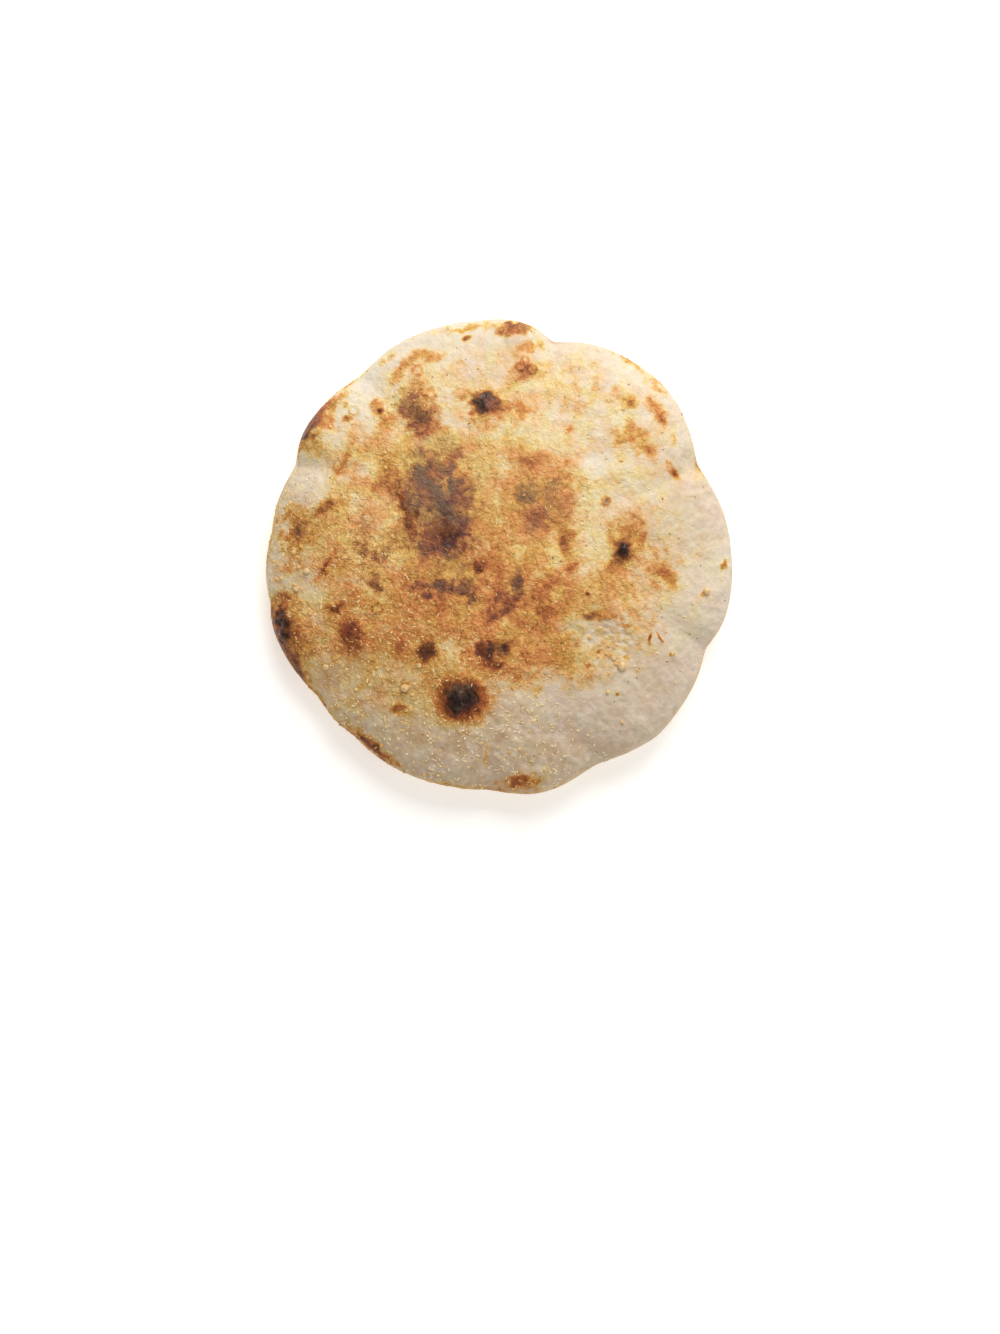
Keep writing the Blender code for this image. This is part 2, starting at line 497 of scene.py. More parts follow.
MARKS = (
    # The great scorch left of the middle, with its ashen streak.
    Mark(-20.7, 16.5, 17.5, 12.0, 98, 0.53, 0.15, 0.8),
    Mark(-20.7, 16, 15.2, 10.2, 98, 0.66, 0.48, 0.9, 4.0),
    Mark(-28.8, 19, 5, 2.8, 90, 0.54, 0.55, 0.6),
    Mark(-18, 7.5, 5.8, 3.6, 120, 0.75, 0.15, 0.7),
    Mark(-31.0, 16.0, 6.5, 0.9, 112, 0.68, 0.0, 1.6),
    Mark(-38, 25, 4.5, 3.5, 60, 0.64, 0.1),
    Mark(-26.2, 28.5, 5.0, 1.7, 100, 0.66, 0.75, 1.6),
    Mark(-22, 22, 5.0, 2.1, 116, 0.68, 0.78, 1.6),
    Mark(-18, 14.0, 6.8, 2.9, 118, 0.78, 0.64, 1.2),
    Mark(-15.4, 24.5, 6.5, 1.9, 97, 0.66, 0.70, 1.6),
    Mark(-14, 33.6, 3.2, 1.5, 155, 0.62, 0.50),
    Mark(-17, 35.6, 4.0, 2.2, 150, 0.56, 0.30),
    Mark(-11.4, 19, 5.5, 2.6, 80, 0.66, 0.40),
    Mark(-16.5, 7.5, 5.0, 3.2, 115, 0.81, 0.04, 1.2),
    Mark(-16.4, 5.4, 3.0, 1.2, 125, 0.84, 0.0, 2.0),
    Mark(-21, 2.6, 6.5, 1.7, 10, 0.70, 0.35),
    Mark(-31.6, 17.5, 3.6, 0.6, 108, 0.76, 0.0, 1.6),
    Mark(-29.5, 10, 4.5, 1.2, 100, 0.70),
    Mark(-27.5, 13.5, 1.5, 1.2, 100, 0.88),
    # The brown patch above it.
    Mark(-27.6, 48, 7.4, 5.0, 105, 0.46, 0.16, 0.8),
    Mark(-29, 51, 4.0, 3.4, 60, 0.56, 0.40, 0.8),
    Mark(-30.5, 47, 5.0, 2.4, 120, 0.62, 0.40),
    Mark(-25.6, 43.2, 5.8, 3.8, 120, 0.68, 0.30, 0.8),
    Mark(-24, 41.5, 3.0, 1.1, 130, 0.72, 0.1),
    Mark(-24.5, 66.5, 5, 2.2, 5, 0.47, 0.0, 0.6),
    Mark(-31, 64, 5, 1.8, 50, 0.46, 0.1, 0.6),
    Mark(-34.5, 59.5, 3.0, 1.3, 60, 0.42),
    Mark(-37.5, 66, 4, 1.0, 50, 0.36),
    # Upper middle.
    Mark(-3, 49.5, 9, 5.5, -15, 0.40),
    Mark(-4.2, 50, 5.4, 3.6, -10, 0.64, 0.15),
    Mark(-4.5, 50.2, 4.2, 2.5, -12, 0.82, 0.20, 1.1),
    Mark(-4.8, 50.6, 3.2, 1.3, -12, 0.92, 0.1, 1.8),
    Mark(-1.8, 49, 1.6, 1.1, -20, 0.76, 0.2, 0.6),
    Mark(7, 49, 3.4, 1.6, -10, 0.50),
    Mark(8.2, 60.6, 3.8, 2.8, 0, 0.58, 0.20, 0.6),
    Mark(10, 70, 4, 2.2, 10, 0.46),
    Mark(4.9, 76.5, 5.5, 2.8, 5, 0.58, 0.2),
    Mark(3.5, 77.4, 2.4, 1.2, 5, 0.72),
    Mark(-12, 76, 9, 1.3, 8, 0.46),
    Mark(-11.2, 72.2, 1.1, 0.9, 0, 0.68),
    # The brown patch right of the middle.
    Mark(15, 18, 15, 11, 95, 0.50),
    Mark(10, 30.5, 4.6, 2.8, 10, 0.46, 0.10),
    Mark(9, 31.5, 2.2, 1.3, 10, 0.58, 0.15),
    Mark(9, 20.5, 3.4, 2.8, 90, 0.60, 0.60),
    Mark(17, 20, 5, 3, 90, 0.53, 0.40),
    Mark(12, 12, 4, 3, 60, 0.56, 0.40),
    Mark(22, 16, 6, 4, 95, 0.52, 0.20),
    Mark(21.5, 4, 3.6, 1.6, 80, 0.64),
    Mark(22.7, 41.4, 2.0, 1.4, 0, 0.50),
    Mark(22.9, 41.2, 0.9, 0.8, 0, 0.66),
    Mark(31.2, 55.4, 1.8, 1.3, 80, 0.38),
    # The right side.
    Mark(43.5, 4, 9.5, 5.5, 80, 0.32),
    Mark(42, 7, 4.8, 4.0, 60, 0.52, 0.1),
    Mark(38, -4, 6.0, 3.0, 40, 0.50),
    Mark(40.6, 2.2, 4.4, 3.4, 70, 0.62, 0.05, 0.8),
    Mark(38.2, -2.6, 3.0, 2.0, 30, 0.72, 0.0, 1.0),
    Mark(40.5, 1.7, 2.2, 1.9, 60, 0.88, 0.0, 0.8),
    Mark(40.5, 1.6, 1.9, 1.7, 60, 1.02, 0.0, 0.4),
    Mark(46.5, 5, 3.0, 2.0, 80, 0.56),
    Mark(54.0, -6.4, 5.4, 3.6, -65, 0.47),
    Mark(54.4, -5.6, 2.8, 1.8, -70, 0.66, 0.0, 0.6),
    Mark(57, -8.8, 2.4, 0.9, -70, 0.60),
    Mark(74.6, -2.7, 1.5, 1.1, 80, 0.66),
    Mark(41.5, 51.4, 4.2, 2.2, -45, 0.50),
    Mark(42.9, 49.7, 1.6, 0.8, -50, 0.72),
    Mark(52.0, 48.4, 4.6, 2.0, -55, 0.46),
    Mark(53.3, 46.4, 1.5, 0.8, -50, 0.60),
    Mark(43, 39.5, 4.6, 3.2, -60, 0.44),
    Mark(43.6, 38.6, 1.2, 1.0, 0, 0.58),
    Mark(49.5, 37, 4.6, 2.4, -62, 0.46),
    Mark(49.6, 35.4, 1.8, 1.0, -70, 0.62),
    Mark(52.8, 58.0, 3.6, 2.0, -35, 0.42),
    Mark(42.8, 66, 8, 1.3, -35, 0.46),
    Mark(57.5, 38.5, 2.6, 0.9, 80, 0.46),
    Mark(66, 30, 4, 2, -60, 0.32),
    Mark(35, 18, 1.6, 1.2, 50, 0.50, 0.7),
    # The tear is painted near black: painted shade inside its slit, on browned crust.
    Mark(57.8, 28.2, 2.9, 1.1, -55, 0.97, 0.0, 0.4),
    # The upper left, along the rim.
    Mark(-60, 45.5, 10.5, 3.6, 52, 0.50),
    Mark(-63.0, 44.5, 8.5, 2.0, 54, 0.76, 0.2, 0.8),
    Mark(-64.5, 41.6, 3, 1.2, 60, 0.84),
    Mark(-62.3, 39.4, 2.2, 1.5, 40, 0.78),
    Mark(-61, 36, 3.2, 2.4, 50, 0.44),
    Mark(-51.5, 53.8, 4.5, 1.4, 45, 0.52),
    Mark(-50.4, 50.2, 1.2, 0.9, 45, 0.56),
    Mark(-52.2, 30.8, 4.6, 1.1, 63, 0.60),
    Mark(-40.2, 49.4, 2.8, 1.6, 50, 0.46),
    Mark(-39.1, 47.9, 0.9, 0.8, 60, 0.84),
    Mark(-41.6, 51.2, 1.3, 0.8, 60, 0.60),
    Mark(-50.9, 45.8, 1.5, 0.7, 20, 0.62),
    Mark(-38, 44.5, 3.4, 2.0, 60, 0.46),
    Mark(-41, 35.5, 8, 3.0, 8, 0.42),
    # The left side.
    Mark(-67, 10, 10, 5, 65, 0.54),
    Mark(-66.6, 9, 3, 1.8, 80, 0.68, 0.3),
    Mark(-57.7, 16.3, 4.5, 2.0, 25, 0.74),
    Mark(-58.2, -4.4, 4, 1.3, 62, 0.78),
    Mark(-54.3, -17.2, 3, 1.8, 20, 0.80),
    Mark(-45.4, 0.7, 3.4, 1.8, 105, 0.70, 0.40, 1.8),
    Mark(-45, 9, 4, 2, 100, 0.68, 0.3),
    Mark(-39.4, -0.6, 3.2, 2.0, 70, 0.58, 0.40, 1.8),
    Mark(-41, -9, 2.4, 1.6, 90, 0.70, 0.2),
    Mark(-69, -25, 11, 6.0, 112, 0.54, 0.0, 0.8),
    Mark(-72, -22.5, 8.6, 3.3, 106, 0.71, 0.0, 0.9),
    Mark(-72.6, -23.5, 5.4, 1.9, 106, 0.94, 0.0, 1.0),
    Mark(-69, -36, 10, 2.8, 120, 0.72, 0.0, 0.6),
    Mark(-48.2, -26.4, 6.2, 4.7, -55, 0.48, 0.0, 0.5),
    Mark(-48.8, -26.0, 5.3, 3.7, -55, 0.68, 0.0, 0.45, 4.0),
    Mark(-50.0, -24.8, 2.6, 2.2, -50, 0.78, 0.0, 0.6),
    Mark(-42.6, -63.5, 10, 1.8, -37, 0.72),
    # The lower middle.
    Mark(-7.4, -3.8, 2.0, 1.8, 0, 0.78),
    Mark(5.4, -10, 3.8, 2.2, 75, 0.66, 0.25, 1.8),
    Mark(5.6, -9.4, 2.8, 1.1, 70, 0.76, 0.35, 2.2),
    Mark(-15.0, -11.1, 8.2, 4.2, -8, 0.73, 0.22, 1.2),
    Mark(-19.0, -10.0, 3.6, 1.8, 20, 0.76, 0.30, 2.0),
    Mark(-11.5, -12.8, 3.4, 1.7, -30, 0.76, 0.20, 2.0),
    Mark(-26.4, -9.9, 3.2, 1.8, -10, 0.66, 0.2),
    Mark(2, -17.2, 4.2, 2.6, 15, 0.76, 0.15, 1.5),
    Mark(14.4, -16, 6, 4.5, 90, 0.68),
    Mark(22, 4, 3, 2, 60, 0.68),
    Mark(24, -3, 2.6, 1.6, 20, 0.72),
    Mark(34.5, -20, 4.5, 1.6, 0, 0.54),
    Mark(29.6, -20.4, 2.0, 1.6, 0, 0.74, 0.3),
    Mark(27.6, -34.5, 2.6, 1.4, -55, 0.44),
    Mark(-24.0, -31.2, 4.0, 3.6, 0, 0.60, 0.0, 0.5),
    Mark(-24.0, -31.2, 2.4, 2.2, 20, 0.87, 0.0, 0.6),
    Mark(-32.6, -30, 2.4, 2, 0, 0.64),
    Mark(-2.0, -33.0, 8.6, 5.2, 0, 0.60, 0.0, 0.8),
    Mark(-5.4, -30.4, 3.0, 2.9, 30, 0.84, 0.0, 0.7, 5.0),
    Mark(1.9, -30.0, 2.6, 2.3, 0, 0.83, 0.0, 0.7, 5.0),
    Mark(-1.8, -36.0, 3.6, 1.2, 5, 0.76),
    # The black blister, in its brown ring.
    # The outermost ring is toasting, set a little below the blister and wider, which adds painted shade
    # under the blister.
    Mark(-12.6, -47.6, 8.8, 8.9, 0, 0.50, 0.0, 0.35, 5.0),
    Mark(-12.8, -46.9, 7.2, 6.9, 0, 0.71, 0.0, 0.15, 9.0),
    Mark(-12.8, -46.9, 4.8, 5.2, 0, 0.76, 0.0, 0.4, 5.0),
    Mark(-12.8, -47.2, 3.5, 3.9, 0, 0.92, 0.0, 0.5, 4.0),
    Mark(-12.8, -48.2, 3.2, 2.0, 8, 0.99, 0.0, 0.8),
    # These four grey ashen marks on the blister's upper part are painted glints, where light would catch the
    # char.
    Mark(-11.4, -43.6, 2.8, 1.0, 10, 0.80, 0.55, 1.6),
    Mark(-15.4, -44.2, 1.7, 0.8, 35, 0.80, 0.60, 1.6),
    Mark(-10.0, -45.8, 0.8, 1.5, 20, 0.80, 0.50, 1.6),
    Mark(-13.4, -45.2, 1.0, 0.7, 0, 0.82, 0.45, 1.6),
    Mark(-15.4, -45.4, 2.8, 0.8, 60, 0.94, 0.0, 1.5),
    Mark(-9.4, -46.0, 0.9, 2.6, 30, 0.93, 0.0, 1.5),
    # Small marks of the floury lower part.
    Mark(-33.7, -51, 2.4, 2.2, 0, 0.62),
    Mark(-32, -43.4, 1.6, 1.6, 0, 0.50),
    # A faint brown line down the crease at the bottom, which is painted shade in the crease.
    Mark(-4.4, -66.5, 3.2, 0.7, 88, 0.36, 0.0, 1.5),
    Mark(7.6, -75.2, 6.5, 2.6, 5, 0.58),
    Mark(49.5, -27.4, 1.6, 0.6, 80, 0.84),
    Mark(53, -27.0, 1.6, 0.4, -60, 0.66),
    Mark(25.0, -25.4, 0.6, 0.5, 0, 0.92),
    Mark(26.0, -28.2, 0.5, 0.5, 0, 0.92),
    Mark(28.6, -12.6, 0.8, 0.6, 0, 0.92),
    Mark(57, -33, 0.7, 0.6, 0, 0.66),
    Mark(38.7, -45.4, 0.9, 0.7, 0, 0.62),
    Mark(68, -13, 1.0, 0.9, 0, 0.56),
)

# Floury or unscorched places inside the marks. A bare place pulls the toasting to its level.
BARES = (
    Mark(-21, 37.2, 15, 3.6, 5, 0.38),
    Mark(-42, 13, 4.5, 7, 0, 0.36),
    Mark(-4.5, 28, 3.5, 7, -10, 0.34),
    Mark(30.5, 8, 5.5, 12, 0, 0.24),
    Mark(15, 40, 6.5, 5, 0, 0.21),
    Mark(-18.6, 21.6, 2.2, 1.7, 90, 0.44),
    Mark(-24.4, 13.4, 2.6, 1.5, 105, 0.47),
    Mark(-24, 54, 2.4, 2.0, 0, 0.56),
    Mark(33, 31, 4.6, 3.2, 30, 0.06),
    Mark(-16.6, -31, 3.0, 4.0, 0, 0.24),
    Mark(26.8, -30, 2.4, 6.5, 0, 0.24),
    Mark(-64, -9, 3.6, 6, 0, 0.16),
    Mark(62, 34, 5, 6, 0, 0.05),
    Mark(-46, 60, 6, 4, 45, 0.0),
    Mark(-64, 24, 6, 8, 0, 0.04),
)


class Bubble(NamedTuple):
    """A small round thing on the crust: a bead of dough, or the rim of a tiny burst bubble."""

    x: float
    y: float
    radius: float


# Beads of dough that baked fast, away from the toasted middle.
BEADS = (
    Bubble(-64.2, -5.0, 1.1),
    Bubble(-67.6, -10.9, 1.0),
    Bubble(-57.9, -37.0, 1.0),
    Bubble(-31.5, -43.8, 1.4),
    Bubble(-26.8, -36.4, 0.9),
    Bubble(68.7, -11.7, 1.1),
    Bubble(40.4, -36.6, 1.5),
    Bubble(37.6, -34.0, 0.8),
    Bubble(-68.6, 1.2, 0.9),
)

# Burst bubbles, of which a thin brown ring is left.
RINGS = (
    Bubble(6.8, 62.8, 1.5),
    Bubble(10.6, 62.0, 1.6),
    Bubble(-27.4, 61.7, 1.6),
    Bubble(-48.3, 48.4, 1.5),
    Bubble(8.4, 65.4, 1.1),
    Bubble(35.0, 18.0, 1.4),
    Bubble(-40.5, -17.5, 1.7),
)

# Where a blister burst and left a ragged floury crater.
CRATER = Zone(35.5, -28, 11, 9.5, -30, 0.08)

# The wrinkled scab on top of the black blister.
SCAB = Zone(-12.2, -46.6, 7.6, 7.6, 0)

# The short deep tear near the right edge.
TEAR = Zone(57.8, 28.2, 2.4, 0.8, -55)


@dataclass(frozen=True)
class BakeMap:
    """How far each place of the crust is baked, from its zones and marks.

    Toast runs from 0 for raw flour to 1 for black char. Layers are noise patterns. A pair of
    numbers is where a smooth step starts and how wide it is.
    """

    zones: tuple[Zone, ...] = ZONES
    marks: tuple[Mark, ...] = MARKS
    bares: tuple[Mark, ...] = BARES
    # Dust zones, which are also painted shade on the lower part and the rims.
    dust_and_shade: tuple[Zone, ...] = DUST_AND_SHADE
    crater: Zone = CRATER
    rings: tuple[Bubble, ...] = RINGS
    # Below this height the crust turns down to the rim.
    shoulder: float = 15.0
    # How far the edges of the zones stray, widely and finely.
    wander: float = 4.4
    wander_span: float = 9.0
    ragged: float = 1.8
    ragged_span: float = 2.6
    # Marks take these shares of both, and less of them when narrower than a full mark.
    mark_wander: float = 0.5
    mark_ragged: float = 1.5
    full_mark: float = 4.0
    small_mark_power: float = 0.6
    # Zones and marks reach a little past their ellipses.
    slack: float = 0.9
    mark_slack: float = 0.88
    zone_power: float = 3.0
    zone_breaks: tuple[Layer, ...] = (Layer(5.0, 0.22, 17), Layer(2.2, 0.16, 18))
    # Stains break up the first browning, up to where the dough is golden.
    stains: tuple[Layer, ...] = (Layer(3.6, 1.0, 21), Layer(1.8, 0.6, 22))
    stain_depth: float = 0.45
    golden: tuple[float, float] = (0.2, 0.2)
    # Islands are paler or browner than what is round them.
    islands: tuple[Layer, ...] = (Layer(6.5, 1.0, 19), Layer(2.6, 0.5, 20))
    pale_island: tuple[float, float] = (0.12, 0.3)
    pale_depth: float = 0.28
    brown_island: tuple[float, float] = (0.15, 0.3)
    brown_depth: float = 0.12
    # Mottle eats into the edges of marks, and flecks lighten them.
    mottle: tuple[Layer, ...] = (Layer(1.6, 0.55, 5), Layer(3.6, 0.45, 6))
    mottle_depth: float = 0.9
    flecks: tuple[Layer, ...] = (Layer(2.1, 0.35, 7),)
    # Scraps of the torn skin and toasted crumbs stand in the flour of the crater.
    crater_power: float = 4.0
    scrap_spacing: float = 2.3
    scrap_seed: int = 25
    scrap_radius: float = 0.50
    scrap_edge: float = 2.4
    scrap_cover: float = 0.45
    scrap_tears: tuple[Layer, ...] = (Layer(5.0, 1.3, 25), Layer(1.5, 1.3, 26))
    scrap_toast: float = 0.20
    crumbs: tuple[Layer, ...] = (Layer(1.9, 2.4, 27),)
    crumb_cover: float = -0.3
    crumb_groups: tuple[Layer, ...] = (Layer(6.0, 2.0, 28),)
    group_cover: float = 0.6
    crumb_toast: float = 0.40
    ring_width: float = 0.42
    ring_toast: float = 0.24
    # The seam browns in stretches, and most of all on the left.
    seam_stretches: tuple[Layer, ...] = (Layer(19.0, 1.5, 15),)
    seam_cover: float = 0.45
    seam_breaks: tuple[Layer, ...] = (Layer(2.4, 0.5, 16),)
    seam_strength: float = 0.8
    seam_turn: float = 90.0
    seam_least: float = 0.08
    seam_right: float = 0.08
    seam_left: float = 0.36
    # The dust, with its painted shade, strays and is mottled.
    dust_and_shade_wander_x: tuple[Layer, ...] = (Layer(15.0, 8.0, 12),)
    dust_and_shade_wander_y: tuple[Layer, ...] = (Layer(15.0, 8.0, 13),)
    dust_and_shade_mottle: tuple[Layer, ...] = (Layer(4.0, 0.40, 14), Layer(1.7, 0.45, 15))
    # The underside has golden clouds and a few brown spots.
    clouds: tuple[Layer, ...] = (Layer(21.0, 1.0, 8), Layer(8.0, 0.5, 9))
    cloud_contrast: float = 1.1
    cloud_toast: float = 0.30
    spots: tuple[Layer, ...] = (Layer(11.0, 1.0, 10), Layer(3.0, 0.4, 11))
    spot_start: float = 0.34
    spot_contrast: float = 3.2
    spot_toast: float = 0.45

    @staticmethod
    def reach(x: np.ndarray, y: np.ndarray, spot: Mark | Zone) -> np.ndarray:
        """Distance of each place from a mark's middle, 1 at its edge.

        Args:
            x: places across the loaf, in millimetres.
            y: places up the loaf, in millimetres.
            spot: the mark or zone.

        Returns:
            One value for each place.
        """
        turn = math.radians(spot.turn)
        off_x = x - spot.x
        off_y = y - spot.y
        along = off_x * math.cos(turn) + off_y * math.sin(turn)
        across = off_y * math.cos(turn) - off_x * math.sin(turn)
        return np.hypot(along / spot.along, across / spot.across)

    def pressed(self, places: np.ndarray) -> np.ndarray:
        """The places with the dome pressed flat, but not the rim, down which patterns would smear."""
        height = np.minimum(0.0, places[:, 2] - self.shoulder)
        return np.column_stack((places[:, 0], places[:, 1], height))

    def toast_ash_and_glint(self, places: np.ndarray) -> tuple[np.ndarray, np.ndarray]:
        """Bakes the upper crust.

        Args:
            places: one row of x, y, z in millimetres for each place.

        Returns:
            Toast, from 0 for raw flour to about 1 for black char, and ash, with painted glints, from 0 to 1.
        """
        flat = self.pressed(places)
        x = places[:, 0]
        y = places[:, 1]
        wide_x = self.wander * noise_field(flat, self.wander_span, 1)
        wide_y = self.wander * noise_field(flat, self.wander_span, 2)
        fine_x = self.ragged * noise_field(flat, self.ragged_span, 3)
        fine_y = self.ragged * noise_field(flat, self.ragged_span, 4)
        toast = self.zone_toast(flat, x + wide_x + fine_x, y + wide_y + fine_y)
        ash_and_glint = np.zeros(len(places))
        torn_x = self.mark_wander * wide_x + self.mark_ragged * fine_x
        torn_y = self.mark_wander * wide_y + self.mark_ragged * fine_y
        mottle = layered(flat, self.mottle)
        flecks = layered(flat, self.flecks)
        for mark in self.marks:
            loose = mark.ragged * min(1.0, (mark.across / self.full_mark) ** self.small_mark_power)
            reach = self.mark_slack * self.reach(x + loose * torn_x, y + loose * torn_y, mark)
            weight = bell(reach + self.mottle_depth * loose * mottle, mark.crisp)
            weight = np.clip(weight * (1.0 + loose * flecks), 0.0, 1.0)
            toast += np.maximum(0.0, mark.level - toast) * weight
            ash_and_glint += (mark.ash_and_glint - ash_and_glint) * weight
        for bare in self.bares:
            reach = self.slack * self.reach(x + torn_x, y + torn_y, bare)
            toast += (bare.level - toast) * bell(reach, bare.crisp)
        toast += self.ring_toast * self.on_rings(places)
        return toast, ash_and_glint

    def zone_toast(self, flat: np.ndarray, x: np.ndarray, y: np.ndarray) -> np.ndarray:
        """Toasting of the broad zones and of the crater, before any mark.

        Args:
            flat: the places with the dome pressed flat.
            x: where each place is looked up, having strayed to the side.
            y: the same, up and down.

        Returns:
            The toasting of each place.
        """
        toast = np.zeros(len(flat))
        breaks = layered(flat, self.zone_breaks)
        for zone in self.zones:
            weight = bell(self.slack * self.reach(x, y, zone) + breaks, self.zone_power)
            toast += np.maximum(0.0, zone.level - toast) * weight
        stains = layered(flat, self.stains)
        toast *= 1.0 + self.stain_depth * stains * (1.0 - step_up(toast, *self.golden))
        islands = layered(flat, self.islands)
        paler = self.pale_depth * step_up(islands, *self.pale_island)
        browner = self.brown_depth * step_up(-islands, *self.brown_island)
        toast *= 1.0 - paler + browner
        inside = bell(self.slack * self.reach(x, y, self.crater), self.crater_power)
        crumbs = eased(layered(flat, self.crumbs, self.crumb_cover))
        crumbs *= eased(layered(flat, self.crumb_groups, self.group_cover))
        floor = self.crater.level + self.scrap_toast * self.scraps(flat) + self.crumb_toast * crumbs
        return toast + (floor - toast) * inside

    def on_rings(self, places: np.ndarray) -> np.ndarray:
        """1 on the thin ring of a burst bubble, falling to 0 beside it.

        Args:
            places: one row of x, y, z in millimetres for each place.

        Returns:
            One value for each place.
        """
        ring = np.zeros(len(places))
        for bubble in self.rings:
            off = np.hypot(places[:, 0] - bubble.x, places[:, 1] - bubble.y) - bubble.radius
            ring = np.maximum(ring, bell(off / self.ring_width))
        return ring

    def scraps(self, flat: np.ndarray) -> np.ndarray:
        """Where golden scraps of the torn skin still stand in the floury crater, from 0 to 1.

        Args:
            flat: the places with the dome pressed flat.

        Returns:
            One value for each place.
        """
        cells = cell_distance(flat, self.scrap_spacing, self.scrap_seed)
        plates = self.scrap_edge * (self.scrap_radius - cells)
        return eased(layered(flat, self.scrap_tears, self.scrap_cover + plates))

    def seam_toast(self, places: np.ndarray, edge: np.ndarray) -> np.ndarray:
        """Browning of the crimped edge, in stretches round the rim.

        Args:
            places: one row of x, y, z in millimetres for each place.
            edge: how near each place is to the rim, 1 on it.

        Returns:
            The seam's own toasting for each place.
        """
        flat = self.pressed(places)
        stretch = eased(layered(flat, self.seam_stretches, self.seam_cover))
        broken = layered(flat, self.seam_breaks, self.seam_strength)
        left = eased(0.5 - flat[:, 0] / self.seam_turn)
        return edge * (self.seam_least + (self.seam_right + self.seam_left * left) * stretch) * broken

    def dust_and_shade_cover(self, places: np.ndarray) -> np.ndarray:
        """How thickly oven dust and bran, with the painted shade of the lower part and the rims, dull each
        place, from 0 to 1.

        Args:
            places: one row of x, y, z in millimetres for each place.

        Returns:
            One value for each place.
        """
        flat = self.pressed(places)
        x = layered(flat, self.dust_and_shade_wander_x, places[:, 0])
        y = layered(flat, self.dust_and_shade_wander_y, places[:, 1])
        dust_and_shade = np.zeros(len(places))
        for zone in self.dust_and_shade:
            weight = bell(self.slack * self.reach(x, y, zone), self.zone_power)
            dust_and_shade += np.maximum(0.0, zone.level - dust_and_shade) * weight
        return dust_and_shade * layered(flat, self.dust_and_shade_mottle, 1.0)

    def under_toast(self, places: np.ndarray) -> np.ndarray:
        """Toasting of the underside: pale, with golden clouds and a few brown spots.

        Args:
            places: one row of x, y, z in millimetres for each place.

        Returns:
            One value for each place.
        """
        clouds = eased(0.5 + self.cloud_contrast * layered(places, self.clouds))
        spots = eased(self.spot_contrast * (layered(places, self.spots) - self.spot_start))
        return self.cloud_toast * clouds + self.spot_toast * spots


# --------------------------------------------------------------------------------------
# Finishes
# --------------------------------------------------------------------------------------


class Remap(NamedTuple):
    """Turns a value that goes from low to high into one that goes from first to last."""

    low: float
    high: float
    first: float | tuple[float, float, float]
    last: float | tuple[float, float, float]
    blend: str = "LINEAR"


class Pattern(NamedTuple):
    """A noise texture: the size of its lumps in millimetres, its finer detail and its swirl."""

    span: float
    detail: float
    swirl: float


